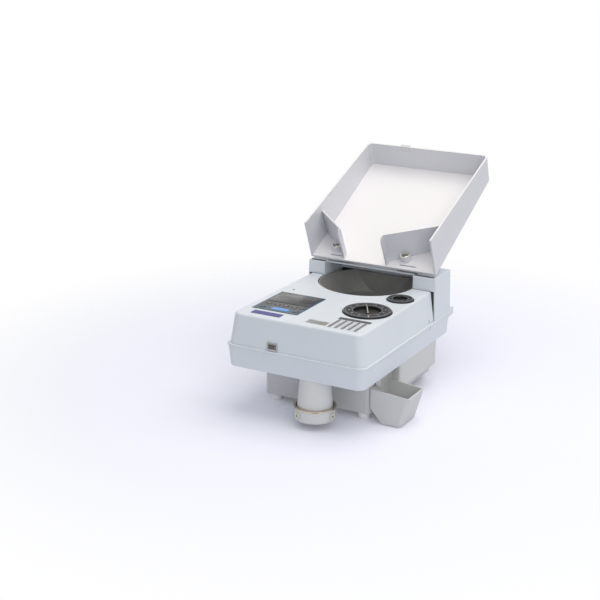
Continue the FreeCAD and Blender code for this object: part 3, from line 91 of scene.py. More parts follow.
# a Mix node set to RGBA takes its share at input 0, its colours at 6 and 7, and gives a colour at output 2
def mouldedPlastic(name, look):  # injection moulded, with a spark-eroded grain and slightly burnished edges
    mat = newFinish(name)
    place = addNode(mat, "ShaderNodeTexCoord")
    grain = addNode(mat, "ShaderNodeTexNoise", {"Scale": 1 / (look["grainMm"] * mm), "Detail": 3.0},
                    {"Vector": place.outputs["Object"]})
    cloud = addNode(mat, "ShaderNodeTexNoise", {"Scale": 1 / (look["cloudMm"] * mm), "Detail": 2.0},
                    {"Vector": place.outputs["Object"]})
    rounded = addNode(mat, "ShaderNodeBevel", {"samples": 4, "Radius": look["edgeMm"] * mm})
    face = addNode(mat, "ShaderNodeNewGeometry")
    turn = addNode(mat, "ShaderNodeVectorMath", {"operation": "DOT_PRODUCT"},
                   {0: rounded.outputs["Normal"], 1: face.outputs["Normal"]})
    edge = addNode(mat, "ShaderNodeMapRange",
                   {"From Min": edgeStart, "From Max": edgeFull, "To Max": look["edge"]},
                   {"Value": turn.outputs["Value"]})
    tone = addNode(mat, "ShaderNodeMix",
                   {"data_type": "RGBA", 6: linear(look["colour"]), 7: linear(look["shade"])},
                   {0: cloud.outputs["Fac"]})
    if "floorAxis" in look:  # faces lying with the tray's floor get painted light: lighter, as if lit from above
        facing = addNode(mat, "ShaderNodeVectorMath", {"operation": "DOT_PRODUCT", 1: look["floorAxis"]},
                         {0: place.outputs["Normal"]})
        flat = addNode(mat, "ShaderNodeMapRange", {"From Min": flatStart, "From Max": flatFull},
                       {"Value": facing.outputs["Value"]})
        tone = addNode(mat, "ShaderNodeMix", {"data_type": "RGBA", 7: linear(look["floorLitColour"])},
                       {0: flat.outputs["Result"], 6: tone.outputs[2]})
    if "chipsAbove" in look:  # parts soldered on the board stand above this height, in black epoxy
        rise = addNode(mat, "ShaderNodeSeparateXYZ", None, {"Vector": place.outputs["Object"]})
        chip = addNode(mat, "ShaderNodeMath", {"operation": "GREATER_THAN", 1: look["chipsAbove"]},
                       {0: rise.outputs["Z"]})
        tone = addNode(mat, "ShaderNodeMix", {"data_type": "RGBA", 7: linear(look["chipColour"])},
                       {0: chip.outputs["Value"], 6: tone.outputs[2]})
    lit = addNode(mat, "ShaderNodeMix", {"data_type": "RGBA", 7: linear(look["edgeColour"])},
                  {0: edge.outputs["Result"], 6: tone.outputs[2]})
    rough = addNode(mat, "ShaderNodeMapRange", {"To Min": look["rough"][0], "To Max": look["rough"][1]},
                    {"Value": grain.outputs["Fac"]})
    bump = addNode(mat, "ShaderNodeBump",
                   {"Strength": look["bump"], "Distance": look["grainMm"] * mm * grainRise},
                   {"Height": grain.outputs["Fac"], "Normal": rounded.outputs["Normal"]})
    skin = addNode(mat, "ShaderNodeBsdfPrincipled", {"IOR": look["ior"]},
                   {"Base Color": lit.outputs[2], "Roughness": rough.outputs["Result"],
                    "Normal": bump.outputs["Normal"]})
    addNode(mat, "ShaderNodeOutputMaterial", None, {"Surface": skin.outputs["BSDF"]})
    return mat


def workedMetal(name, look):  # metal with the fine lines of its last working
    mat = newFinish(name)
    place = addNode(mat, "ShaderNodeTexCoord")
    stretch = addNode(mat, "ShaderNodeMapping", {"Scale": look["stretch"]},
                      {"Vector": place.outputs["Object"]})
    lines = addNode(mat, "ShaderNodeTexNoise", {"Scale": 1 / (look["lineMm"] * mm), "Detail": 4.0},
                    {"Vector": stretch.outputs["Vector"]})
    tone = addNode(mat, "ShaderNodeMix",
                   {"data_type": "RGBA", 6: linear(look["colour"]), 7: linear(look["shade"])},
                   {0: lines.outputs["Fac"]})
    rough = addNode(mat, "ShaderNodeMapRange", {"To Min": look["rough"][0], "To Max": look["rough"][1]},
                    {"Value": lines.outputs["Fac"]})
    rounded = addNode(mat, "ShaderNodeBevel", {"samples": 4, "Radius": look["edgeMm"] * mm})
    bump = addNode(mat, "ShaderNodeBump",
                   {"Strength": look["bump"], "Distance": look["lineMm"] * mm * lineRise},
                   {"Height": lines.outputs["Fac"], "Normal": rounded.outputs["Normal"]})
    skin = addNode(mat, "ShaderNodeBsdfPrincipled", {"Metallic": 1.0},
                   {"Base Color": tone.outputs[2], "Roughness": rough.outputs["Result"],
                    "Normal": bump.outputs["Normal"]})
    addNode(mat, "ShaderNodeOutputMaterial", None, {"Surface": skin.outputs["BSDF"]})
    return mat


# an eroded grain is really about 0.1 mm and a brushed line finer: both are drawn coarser, so that they show

# ABS with a fine matt grain: pale, slightly cool, soft highlights, edges a touch lighter
casing = mouldedPlastic("abs_pale_grained", {
    "colour": "#dee4ea", "shade": "#d7dde4", "edgeColour": "#f3f5f7", "edge": 0.55,
    "grainMm": 0.5, "cloudMm": 70, "rough": (0.36, 0.5), "bump": 0.12, "edgeMm": 0.9, "ior": 1.53})
# the same ABS of the base and the reject box, as a shaded copy: painted shade makes it a little darker; it
# is also duller
baseShadedGrey = mouldedPlastic("abs_base_painted_shade", {
    "colour": "#d2d3d2", "shade": "#cacbca", "edgeColour": "#e6e7e6", "edge": 0.5,
    "grainMm": 0.5, "cloudMm": 60, "rough": (0.4, 0.55), "bump": 0.12, "edgeMm": 0.9, "ior": 1.53})
# smooth ABS of the tray: whiter, with a faint sheen; its floor is painted lighter than the walls, as
# painted light from above
trayWhite = mouldedPlastic("abs_white_smooth", {
    "colour": "#dcdde2", "shade": "#d5d6dc", "edgeColour": "#fafafb", "edge": 0.6,
    "grainMm": 0.8, "cloudMm": 90, "rough": (0.28, 0.42), "bump": 0.06, "edgeMm": 0.8, "ior": 1.53,
    "floorAxis": (0.0, -math.sin(trayTilt), math.cos(trayTilt)), "floorLitColour": "#f3f1f2"})
# glossy styrene of spout and collar: milky and bright
milkWhite = mouldedPlastic("styrene_milk_glossy", {
    "colour": "#dadbda", "shade": "#d2d3d2", "edgeColour": "#f3f3f2", "edge": 0.5,
    "grainMm": 1.2, "cloudMm": 40, "rough": (0.18, 0.3), "bump": 0.04, "edgeMm": 0.7, "ior": 1.55})
# white elastomer of the feet, clean, with a soft sheen: their own white, painted brighter still as painted
# light on feet that sit in shade
feetLitWhite = mouldedPlastic("elastomer_white_painted_light", {
    "colour": "#fbfbfa", "shade": "#f5f5f4", "edgeColour": "#ffffff", "edge": 0.4,
    "grainMm": 0.6, "cloudMm": 12, "rough": (0.3, 0.42), "bump": 0.05, "edgeMm": 0.6, "ior": 1.5})
# grey ABS of the hopper: darker, worn matt by use
bowlGrey = mouldedPlastic("abs_grey_worn", {
    "colour": "#8f8e8b", "shade": "#7c7b78", "edgeColour": "#b9b8b5", "edge": 0.5,
    "grainMm": 0.7, "cloudMm": 25, "rough": (0.4, 0.6), "bump": 0.15, "edgeMm": 0.7, "ior": 1.53})
# grey of the finger pocket's liner, darker than the casing as painted shade in the pocket: dull, a little
# warm
pocketShadeGrey = mouldedPlastic("pocket_shade_grey_dull", {
    "colour": "#cdcecb", "shade": "#c3c4c1", "edgeColour": "#dcddda", "edge": 0.4,
    "grainMm": 0.4, "cloudMm": 10, "rough": (0.55, 0.7), "bump": 0.12, "edgeMm": 0.3, "ior": 1.48})
# satin black ABS of the dials and rear fittings: a low IOR keeps the white surroundings from greying it
satinBlack = mouldedPlastic("abs_black_satin", {
    "colour": "#1d1d1f", "shade": "#161618", "edgeColour": "#57585c", "edge": 0.5,
    "grainMm": 0.4, "cloudMm": 12, "rough": (0.4, 0.55), "bump": 0.12, "edgeMm": 0.5, "ior": 1.36})
# cream nylon of the thumb studs: warm, faintly waxy
creamNylon = mouldedPlastic("nylon_cream", {
    "colour": "#dedccb", "shade": "#d2cfbb", "edgeColour": "#f0eee0", "edge": 0.5,
    "grainMm": 0.6, "cloudMm": 8, "rough": (0.35, 0.5), "bump": 0.08, "edgeMm": 0.5, "ior": 1.53})
# black rubber of belts and rollers: dull, dusty
dullRubber = mouldedPlastic("rubber_black_dull", {
    "colour": "#2a2a2a", "shade": "#343331", "edgeColour": "#4a4947", "edge": 0.4,
    "grainMm": 0.5, "cloudMm": 6, "rough": (0.65, 0.85), "bump": 0.25, "edgeMm": 0.3, "ior": 1.52})
# glass-epoxy board under green lacquer: deep green and shiny, with pale cut edges
boardLook = {
    "colour": "#1f5b3a", "shade": "#174a2f", "edgeColour": "#8f8f86", "edge": 0.5,
    "grainMm": 0.9, "cloudMm": 9, "rough": (0.25, 0.4), "bump": 0.1, "edgeMm": 0.4, "ior": 1.5,
    "chipColour": "#232427"}
boardTopMm = 6.8  # a board's upper face above the foot of its legs, and a little more
greenBoard = mouldedPlastic("glass_epoxy_lacquered", boardLook)
populatedBoards = {}
for node in ("control_board", "power_board"):
    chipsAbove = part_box(node)[0].z + boardTopMm * mm
    populatedBoards[node] = mouldedPlastic("glass_epoxy_" + node, {**boardLook, "chipsAbove": chipsAbove})
# nickel-chrome plate: mirror bright with a warm tint
brightPlate = workedMetal("chrome_plated_brass", {
    "colour": "#ddd2bb", "shade": "#c8bda6", "stretch": (1.0, 1.0, 1.0), "lineMm": 3.0,
    "rough": (0.06, 0.14), "bump": 0.02, "edgeMm": 0.4})
# brushed nickel of the latch: darker, lined across
brushedNickel = workedMetal("nickel_brushed", {
    "colour": "#93918b", "shade": "#7f7d78", "stretch": (0.15, 1.0, 1.0), "lineMm": 0.5,
    "rough": (0.18, 0.32), "bump": 0.06, "edgeMm": 0.4})
# zinc-plated steel of screws, hinges and rails: grey, faintly streaked
zincSteel = workedMetal("steel_zinc_plated", {
    "colour": "#b4b6b8", "shade": "#9fa1a3", "stretch": (1.0, 6.0, 1.0), "lineMm": 1.2,
    "rough": (0.25, 0.4), "bump": 0.08, "edgeMm": 0.4})

# screen-printed inks of the scales, the table and the key signs: thin, matt, slightly uneven
inkLook = {"edge": 0.2, "grainMm": 0.3, "cloudMm": 6, "rough": (0.4, 0.55), "bump": 0.05, "edgeMm": 0.05,
           "ior": 1.5}
paleInk = mouldedPlastic("screen_ink_pale", {
    **inkLook, "colour": "#c9ccd0", "shade": "#b9bcc1", "edgeColour": "#d5d7da", "cloudMm": 5})
darkInk = mouldedPlastic("screen_ink_dark", {
    **inkLook, "colour": "#3a3f45", "shade": "#2f3439", "edgeColour": "#4a4f55"})
slateInk = mouldedPlastic("screen_ink_slate", {
    **inkLook, "colour": "#5d646d", "shade": "#545b63", "edgeColour": "#6a7179"})
pinkInk = mouldedPlastic("screen_ink_rose", {
    **inkLook, "colour": "#c9a9ad", "shade": "#bb999e", "edgeColour": "#d4b8bb", "cloudMm": 4,
    "rough": (0.35, 0.5)})
# paper table under a clear laminate: white, with a soft shine
whiteLabel = mouldedPlastic("label_paper_laminated", {
    "colour": "#e9edf0", "shade": "#e0e4e8", "edgeColour": "#f2f4f5", "edge": 0.3,
    "grainMm": 0.6, "cloudMm": 18, "rough": (0.3, 0.42), "bump": 0.04, "edgeMm": 0.2, "ior": 1.5})
# printed polycarbonate films with an anti-glare coat, hence the low IOR: even colour, a slight orange peel
filmLook = {"edge": 0.4, "grainMm": 1.5, "rough": (0.14, 0.24), "bump": 0.03, "edgeMm": 0.3}
slateFilm = mouldedPlastic("film_slate_glossy", {
    **filmLook, "colour": "#45596a", "shade": "#3c4f60", "edgeColour": "#6f8596", "cloudMm": 30,
    "ior": 1.32})
indigoFilm = mouldedPlastic("film_indigo_glossy", {
    **filmLook, "colour": "#2b2f88", "shade": "#25297f", "edgeColour": "#4d51a4", "cloudMm": 14,
    "ior": 1.3, "edgeMm": 0.2})
# the same film without the coat on the blue key: brighter
blueFilm = mouldedPlastic("film_bright_blue", {
    **filmLook, "colour": "#3f9ceb", "shade": "#348fdf", "edgeColour": "#7cc0f6", "cloudMm": 9,
    "ior": 1.58, "grainMm": 1.2, "rough": (0.15, 0.25)})
# smoked acrylic over the unlit display, coated against glare: dark and even
smokedWindow = mouldedPlastic("acrylic_smoked", {
    "colour": "#4a4748", "shade": "#3f3d3f", "edgeColour": "#77747a", "edge": 0.4,
    "grainMm": 2.0, "cloudMm": 35, "rough": (0.14, 0.22), "bump": 0.02, "edgeMm": 0.3, "ior": 1.32})
# diffusers of the unlit segments, seen through it: a shade lighter
unlitSegment = mouldedPlastic("segment_unlit", {
    "colour": "#5f5a5b", "shade": "#585354", "edgeColour": "#676263", "edge": 0.2,
    "grainMm": 1.0, "cloudMm": 10, "rough": (0.2, 0.3), "bump": 0.02, "edgeMm": 0.05, "ior": 1.32})

nodeFinish = {
    baseShadedGrey: ["base_pan", "reject_box"],
    casing: ["lower_shell", "rear_housing", "top_cover", "rear_spacers", "tray_rests"],
    trayWhite: ["coin_tray", "guide_wing_left", "guide_wing_right"],
    milkWhite: ["spout", "bag_collar", "reject_chute", "rim_clip"],
    feetLitWhite: ["rubber_feet"],
    bowlGrey: ["hopper_bowl", "feed_belt_arm", "disc_bearing", "dial_bush", "coin_sensor"],
    satinBlack: ["diameter_dial", "thickness_dial", "dial_cam", "mains_inlet", "switch_frame", "rocker",
                 "fuse_holder", "disc_pulley", "motor_pulley"],
    creamNylon: ["collar_studs"],
    dullRubber: ["drive_belt", "feed_belt", "front_roller", "rear_roller"],
    greenBoard: ["display_board"],
    **{mat: [node] for node, mat in populatedBoards.items()},
    brightPlate: ["collar_ring"],
    brushedNickel: ["latch_button"],
    zincSteel: ["latch_bezel", "deck_plate", "drive_motor", "fixed_rail", "moving_rail", "stop_solenoid",
                "solenoid_plunger", "cover_hinge_posts", "cover_hinge_pins", "tray_hinge_base",
                "tray_hinge_pins", "tray_hinge_leaves", "tray_screws", "transformer", "disc_shaft",
                "gate_screw", "thickness_gate", "feed_disc"],
    slateFilm: ["display_panel"],
    indigoFilm: ["blank_strip"],
    whiteLabel: ["chart_plate"],
}

for mat, nodes in nodeFinish.items():
    for node in nodes:
        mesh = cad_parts[node].data
        mesh.materials.clear()
        mesh.materials.append(mat)
print("finishes set")

# tools for the pieces that dress the solids, with all lengths in mm, measured as spot() does
toFrame = Matrix.Translation((centreX, frontY, 0)) @ Matrix.Scale(mm, 4)
inkThick = 0.08  # a printed mark
leastCorner = 0.05  # keeps the points of an inset corner apart
softStep = 0.3  # a soft edge is broken at this share of its width
sharpAngle = math.radians(35)


def roundRect(box, corner, inset=0.0, steps=6):  # box is x0, x1, y0, y1
    x0, x1, y0, y1 = box[0] + inset, box[1] - inset, box[2] + inset, box[3] - inset
    r = max(corner - inset, leastCorner)
    corners = ((x1 - r, y1 - r, 0), (x0 + r, y1 - r, 90), (x0 + r, y0 + r, 180), (x1 - r, y0 + r, 270))
    points = []
    for x, y, start in corners:
        for i in range(steps + 1):
            a = math.radians(start + 90 * i / steps)
            points.append((x + r * math.cos(a), y + r * math.sin(a)))
    return points


def circle(x, y, r, steps=24):
    angles = [2 * math.pi * i / steps for i in range(steps)]
    return [(x + r * math.cos(a), y + r * math.sin(a)) for a in angles]


def bar(start, end, width):  # a thin straight mark between two points
    a, b = Vector(start), Vector(end)
    side = (b - a).orthogonal().normalized() * width / 2
    return [tuple(a + side), tuple(a - side), tuple(b - side), tuple(b + side)]


def lying(points, z):  # flat points, laid down at a height
    return [(x, y, z) for x, y in points]


def standing(points, y):  # flat points, stood up across the machine
    return [(x, y, z) for x, z in points]


def joinRings(bm, rings, capped=True):  # a skin through rings with the same number of points
    loops = [[bm.verts.new(p) for p in ring] for ring in rings]
    for low, high in zip(loops, loops[1:]):
        for i in range(len(low)):
            j = (i + 1) % len(low)
            bm.faces.new((low[i], low[j], high[j], high[i]))
    if capped:
        bm.faces.new(loops[0][::-1])
        bm.faces.new(loops[-1])


def addPrint(bm, points, low, thick=inkThick):  # one printed mark
    joinRings(bm, [lying(points, z) for z in (low, low + thick)])


def addSlab(bm, box, corner, low, high, soft):  # a rounded plate with a soft top edge
    levels = ((0.0, low), (0.0, high - soft), (softStep * soft, high - softStep * soft), (soft, high))
    joinRings(bm, [lying(roundRect(box, corner, inset), z) for inset, z in levels])


def addText(bm, words, size, place, turn=0.0):  # plain numbers, lying flat, placed by their middle
    curve = bpy.data.curves.new("numeral", "FONT")
    curve.body = words
    curve.size = size
    curve.align_x, curve.align_y = "CENTER", "CENTER"
    curve.extrude = inkThick / 2
    curve.resolution_u = 2
    text = bpy.data.objects.new("numeral", curve)
    mesh = bpy.data.meshes.new_from_object(text)
    mesh.transform(Matrix.Translation(place) @ Matrix.Rotation(turn, 4, "Z"))
    bm.from_mesh(mesh)
    bpy.data.objects.remove(text)
    bpy.data.curves.remove(curve)
    bpy.data.meshes.remove(mesh)


def newPiece(name, bm, body, mat):
    bmesh.ops.recalc_face_normals(bm, faces=bm.faces)
    bm.transform(toFrame)
    mesh = bpy.data.meshes.new(name)
    bm.to_mesh(mesh)
    bm.free()
    mesh.materials.append(mat)
    mesh.polygons.foreach_set("use_smooth", [True] * len(mesh.polygons))
    mesh.set_sharp_from_angle(angle=sharpAngle)
    piece = bpy.data.objects.new(name, mesh)
    bpy.context.scene.collection.objects.link(piece)
    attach(piece, body)


# printed scale of the large dial: ticks and plain numbers between two fine circles, under the fin
largeScale = {"finRise": 1.6, "ticks": 60, "each": 5, "tick": (34.6, 37.4), "long": (33.4, 37.4),
              "wide": 0.5, "numbers": range(14, 38, 2), "numberR": 29.6, "numberSize": 4.6,
              "circles": (24.6, 38.6), "line": 0.4, "steps": 72}
# printed scale of the small dial, which has no fin
smallScale = {"finRise": 0.0, "ticks": 30, "each": 3, "tick": (18.9, 20.6), "long": (18.2, 20.6),
              "wide": 0.4, "numbers": range(0, 10), "numberR": 15.7, "numberSize": 3.2,
              "circles": (13.4, 21.3), "line": 0.3, "steps": 72}


def dialScale(name, node, body, look):
    x, y, finTop = topMiddle(node)
    face = finTop - look["finRise"]
    bm = bmesh.new()

    def polar(r, a):
        return (x + r * math.cos(a), y + r * math.sin(a))

    for i in range(look["ticks"]):
        a = 2 * math.pi * i / look["ticks"]
        near, far = look["long"] if i % look["each"] == 0 else look["tick"]
        addPrint(bm, bar(polar(near, a), polar(far, a), look["wide"]), face)
    for i, number in enumerate(look["numbers"]):
        clockwise = -2 * math.pi * i / len(look["numbers"])
        place = polar(look["numberR"], math.pi / 2 + clockwise)
        addText(bm, str(number), look["numberSize"], (*place, face + inkThick / 2), clockwise)
    for r in look["circles"]:
        inner, outer = (circle(x, y, r + side * look["line"] / 2, look["steps"]) for side in (-1, 1))
        top = face + inkThick
        rings = [lying(inner, face), lying(inner, top), lying(outer, top), lying(outer, face)]
        joinRings(bm, rings, capped=False)
    newPiece(name, bm, body, paleInk)


dialScale("largeDialScale", "diameter_dial", "size_dial", largeScale)
dialScale("smallDialScale", "thickness_dial", "thickness_dial", smallScale)

# bright metal line set into the fin of the large dial, carried on over its ring
pointerLook = {"turn": -61.5, "wide": 1.5, "onFin": (-21.8, 21.8), "onRing": (22.8, 39.4), "thick": 0.3,
               "soft": 0.15}


def dialPointer():
    x, y, finTop = topMiddle("diameter_dial")
    ringTop = finTop - largeScale["finRise"]
    half = pointerLook["wide"] / 2
    bm = bmesh.new()
    for ends, seat in ((pointerLook["onFin"], finTop), (pointerLook["onRing"], ringTop)):
        addSlab(bm, (*ends, -half, half), half, seat, seat + pointerLook["thick"], pointerLook["soft"])
    bm.transform(Matrix.Translation((x, y, 0)) @ Matrix.Rotation(math.radians(pointerLook["turn"]), 4, "Z"))
    newPiece("dialPointer", bm, "size_dial", brightPlate)


dialPointer()
print("dials printed")

# smoked window of the display panel, over a row of unlit seven-segment digits
panelTop = topMiddle("display_panel")[2]
windowLook = {"box": (-97.5, -22.5, 90.0, 141.5), "corner": 2.5, "thick": 0.5, "soft": 0.2}
digitLook = {"count": 6, "pitch": 10.6, "size": (6.4, 12.0), "middle": (-60.0, 119.0), "stroke": 1.1,
             "trim": 0.7, "lean": 0.12, "thick": 0.05}


def displayWindow():
    bm = bmesh.new()
    top = panelTop + windowLook["thick"]
    addSlab(bm, windowLook["box"], windowLook["corner"], panelTop, top, windowLook["soft"])
    newPiece("displayWindow", bm, "cover", smokedWindow)
    h, v = digitLook["size"][0] / 2, digitLook["size"][1] / 2
    segments = [((-h, v), (h, v)), ((-h, 0), (h, 0)), ((-h, -v), (h, -v)),
                ((-h, 0), (-h, v)), ((-h, -v), (-h, 0)), ((h, 0), (h, v)), ((h, -v), (h, 0))]
    bm = bmesh.new()
    for n in range(digitLook["count"]):
        x = digitLook["middle"][0] + (n - (digitLook["count"] - 1) / 2) * digitLook["pitch"]
        y = digitLook["middle"][1]
        for segment in segments:
            a, b = Vector(segment[0]), Vector(segment[1])
            trim = (b - a).normalized() * digitLook["stroke"] * digitLook["trim"]
            ends = [(x + p.x + p.y * digitLook["lean"], y + p.y) for p in (a + trim, b - trim)]
            addPrint(bm, bar(*ends, digitLook["stroke"]), top, digitLook["thick"])
    newPiece("displayDigits", bm, "cover", unlitSegment)


# two rows of film keys with plain signs, a dark field under the upper row, one blue key in the lower row
keyLook = {"rows": {78.0: (-88.0, -72.0, -56.0, -40.0, -27.0), 57.0: (-88.0, -27.0)}, "size": (11.0, 8.5),
           "corner": 2.0, "thick": 0.35, "soft": 0.25}
fieldLook = {"box": (-97.5, -22.5, 66.5, 89.2), "corner": 2.5}
blueLook = {"box": (-71.0, -40.0, 51.5, 62.5), "corner": 3.0, "soft": 0.3}
signLook = {"half": 1.8, "triangle": (-1.6, 2.0), "square": 1.6, "squareCorner": 0.3, "barGap": 1.1,
            "cross": 2.0, "stroke": 0.9}


def keySign(bm, x, y, kind, z):  # triangle, square, disc, two bars, one bar, cross, one bar
    half, stroke = signLook["half"], signLook["stroke"]
    if kind == 0:
        left, tip = signLook["triangle"]
        addPrint(bm, [(x + left, y - half), (x + tip, y), (x + left, y + half)], z)
    elif kind == 1:
        side = signLook["square"]
        addPrint(bm, roundRect((x - side, x + side, y - side, y + side), signLook["squareCorner"]), z)
    elif kind == 2:
        addPrint(bm, circle(x, y, half), z)
    elif kind == 3:
        for dx in (-signLook["barGap"], signLook["barGap"]):
            addPrint(bm, bar((x + dx, y - half), (x + dx, y + half), stroke), z)
    else:
        reach = signLook["cross"]
        addPrint(bm, bar((x - reach, y), (x + reach, y), stroke), z)
        if kind == 5:
            addPrint(bm, bar((x, y - reach), (x, y + reach), stroke), z)


def panelKeys():
    keys, signs, field, blue = (bmesh.new() for _ in range(4))
    h, v = keyLook["size"][0] / 2, keyLook["size"][1] / 2
    top = panelTop + keyLook["thick"]
    kind = 0
    for y, places in keyLook["rows"].items():
        for x in places:
            addSlab(keys, (x - h, x + h, y - v, y + v), keyLook["corner"], panelTop, top, keyLook["soft"])
            keySign(signs, x, y, kind, top)
            kind += 1
    addPrint(field, roundRect(fieldLook["box"], fieldLook["corner"]), panelTop)
    addSlab(blue, blueLook["box"], blueLook["corner"], panelTop, top, blueLook["soft"])
    newPiece("panelKeys", keys, "cover", darkInk)
    newPiece("panelKeyField", field, "cover", smokedWindow)
    newPiece("panelKeySigns", signs, "cover", pinkInk)
    newPiece("panelBlueKey", blue, "cover", blueFilm)


displayWindow()
panelKeys()

# ruled table of plain numbers: dark head at the rear, pale numbers on slate bands, dark ones between them
tableLook = {"edge": 0.9, "head": 10.0, "headCorner": 0.6, "columns": 5, "rows": 8, "rule": 0.3,
             "band": 0.44, "bandCorner": 0.3, "bandGap": 0.8, "numberSize": 2.9, "smallSize": 2.6,
             "smallLift": 0.05, "firstNumber": 11, "rowStep": 3, "columnStep": 7}


def numberTable():
    low, high = boxMm("chart_plate")
    edge, top = tableLook["edge"], high.z
    x0, x1, y0, y1 = low.x + edge, high.x - edge, low.y + edge, high.y - edge
    columns, rows = range(tableLook["columns"]), range(tableLook["rows"])
    headY = y1 - tableLook["head"]
    pitch, step = (x1 - x0) / len(columns), (headY - y0) / len(rows)
    rowY = [y0 + (r + 0.5) * step for r in rows]
    lines, bands, numbers = (bmesh.new() for _ in range(3))
    addPrint(lines, roundRect((x0, x1, headY, y1), tableLook["headCorner"]), top)
    for c in columns[1:]:
        for r in rows:
            place = (x0 + c * pitch, rowY[r], top + tableLook["smallLift"])
            addText(lines, str(c + len(columns) * r), tableLook["smallSize"], place)
    for r in rows[1:]:
        addPrint(lines, bar((x0, y0 + r * step), (x1, y0 + r * step), tableLook["rule"]), top)
    half, onBand = pitch * tableLook["band"] / 2, top + inkThick + inkThick / 2
    for c in columns:
        x = x0 + (c + 0.5) * pitch
        band = (x - half, x + half, y0, headY - tableLook["bandGap"])
        addPrint(bands, roundRect(band, tableLook["bandCorner"]), top)
        addText(numbers, str(c + 1), tableLook["numberSize"], (x, (headY + y1) / 2, onBand))
        for r in rows:
            number = tableLook["firstNumber"] + tableLook["rowStep"] * r + tableLook["columnStep"] * c
            addText(numbers, str(number), tableLook["numberSize"], (x, rowY[r], onBand))
    newPiece("tableHead", lines, "cover", darkInk)
    newPiece("tableColumns", bands, "cover", slateInk)
    newPiece("tableNumbers", numbers, "cover", whiteLabel)


numberTable()

# thin darker sheet in the finger pocket beside the table: painted shade of the pocket
pocketShadeLook = {"box": (8.2, 44.8, 22.2, 39.8), "corner": 2.5, "thick": 0.8, "low": 164.6, "lip": 172.1,
             "soft": 0.2}


def pocketLiner():
    thick, low, lip, soft = (pocketShadeLook[k] for k in ("thick", "low", "lip", "soft"))
    levels = ((0.0, low), (0.0, lip - soft), (soft, lip), (thick, lip), (thick, low + 2 * thick),
              (2 * thick, low + thick))
    bm = bmesh.new()
    joinRings(bm, [lying(roundRect(pocketShadeLook["box"], pocketShadeLook["corner"], inset), z)
                   for inset, z in levels])
    newPiece("pocketLiner", bm, "cover", pocketShadeGrey)


pocketLiner()
print("panel and table printed")

# lip along the seam, swept round the lower shell's top edge: a little proud, it shades the wall below.
# profile is how far out of the wall, and the height
lipLook = {"corner": 14.0, "rear": 277.0, "steps": 8,
           "profile": ((-0.6, 120.5), (0.5, 120.4), (1.0, 119.8), (1.0, 117.4), (0.6, 116.8),
                       (-0.6, 116.6))}


def seamLip():
    low, high = boxMm("lower_shell")
    r = lipLook["corner"]
    path = [((low.x, lipLook["rear"]), (-1.0, 0.0))]  # each point with its way out
    for x, y, start in ((low.x + r, low.y + r, 180), (high.x - r, low.y + r, 270)):
        for i in range(lipLook["steps"] + 1):
            a = math.radians(start + 90 * i / lipLook["steps"])
            path.append(((x + r * math.cos(a), y + r * math.sin(a)), (math.cos(a), math.sin(a))))
    path.append(((high.x, lipLook["rear"]), (1.0, 0.0)))
    bm = bmesh.new()
    joinRings(bm, [[(x + out * nx, y + out * ny, z) for out, z in lipLook["profile"]]
                   for (x, y), (nx, ny) in path])
    newPiece("seamLip", bm, "chassis", casing)


seamLip()

# dark strips on the cheeks, in the gap behind the cover, as painted shade of the gap: the left one is
# narrower
gapShadeLook = {"inner": {-1: 91.0, 1: 81.0}, "outerLow": 121.6, "outerHigh": 119.6, "z": (121.4, 172.2),
            "y": (277.9, 278.3), "softDepth": 0.1, "softInset": 0.15}
# thin dark pads under the tray's lip, as painted shade of the gap there
lipShadeLook = {"outer": 118.0, "y": (279.6, 284.4), "z": (195.4, 196.2), "corner": 1.0, "soft": 0.3}


def gapTape(name, side):
    inner = gapShadeLook["inner"][side]
    (lowZ, highZ), (front, back) = gapShadeLook["z"], gapShadeLook["y"]
    edge = [Vector(p) for p in ((inner, lowZ), (gapShadeLook["outerLow"], lowZ), (gapShadeLook["outerHigh"], highZ),
                                (inner, highZ))]
    middle = sum(edge, Vector((0, 0))) / len(edge)
    rings = []
    for y, inset in ((back, 0.0), (front + gapShadeLook["softDepth"], 0.0), (front, gapShadeLook["softInset"])):
        pulled = [p + (middle - p).normalized() * inset for p in edge]
        rings.append([(side * p.x, y, p.y) for p in pulled])
    bm = bmesh.new()
    joinRings(bm, rings)
    newPiece(name, bm, "chassis", dullRubber)


def lipPad(name, side):
    across = sorted((side * gapShadeLook["inner"][side], side * lipShadeLook["outer"]))
    bm = bmesh.new()
    addSlab(bm, (*across, *lipShadeLook["y"]), lipShadeLook["corner"], *lipShadeLook["z"], lipShadeLook["soft"])
    newPiece(name, bm, "chassis", dullRubber)


for side, word in ((-1, "Left"), (1, "Right")):
    gapTape("gapTape" + word, side)
    lipPad("lipPad" + word, side)

# knurled bright caps over the tray's screws, standing in their wells: profile is radius and height over the
# tray's under face, and lip is where that face starts, behind the machine's front and above the floor
capLook = {"screws": (-78.0, 55.0), "fromLip": 24.0, "lip": (283.7, 200.0), "ribs": 18, "rib": 0.22,
           "profile": ((5.0, 3.05), (5.0, 11.6), (4.4, 12.4), (2.6, 13.2), (0.8, 13.4)),
           "slotLong": 6.4, "slotWide": 1.0, "slotSunk": 0.6, "slotTall": 0.7}


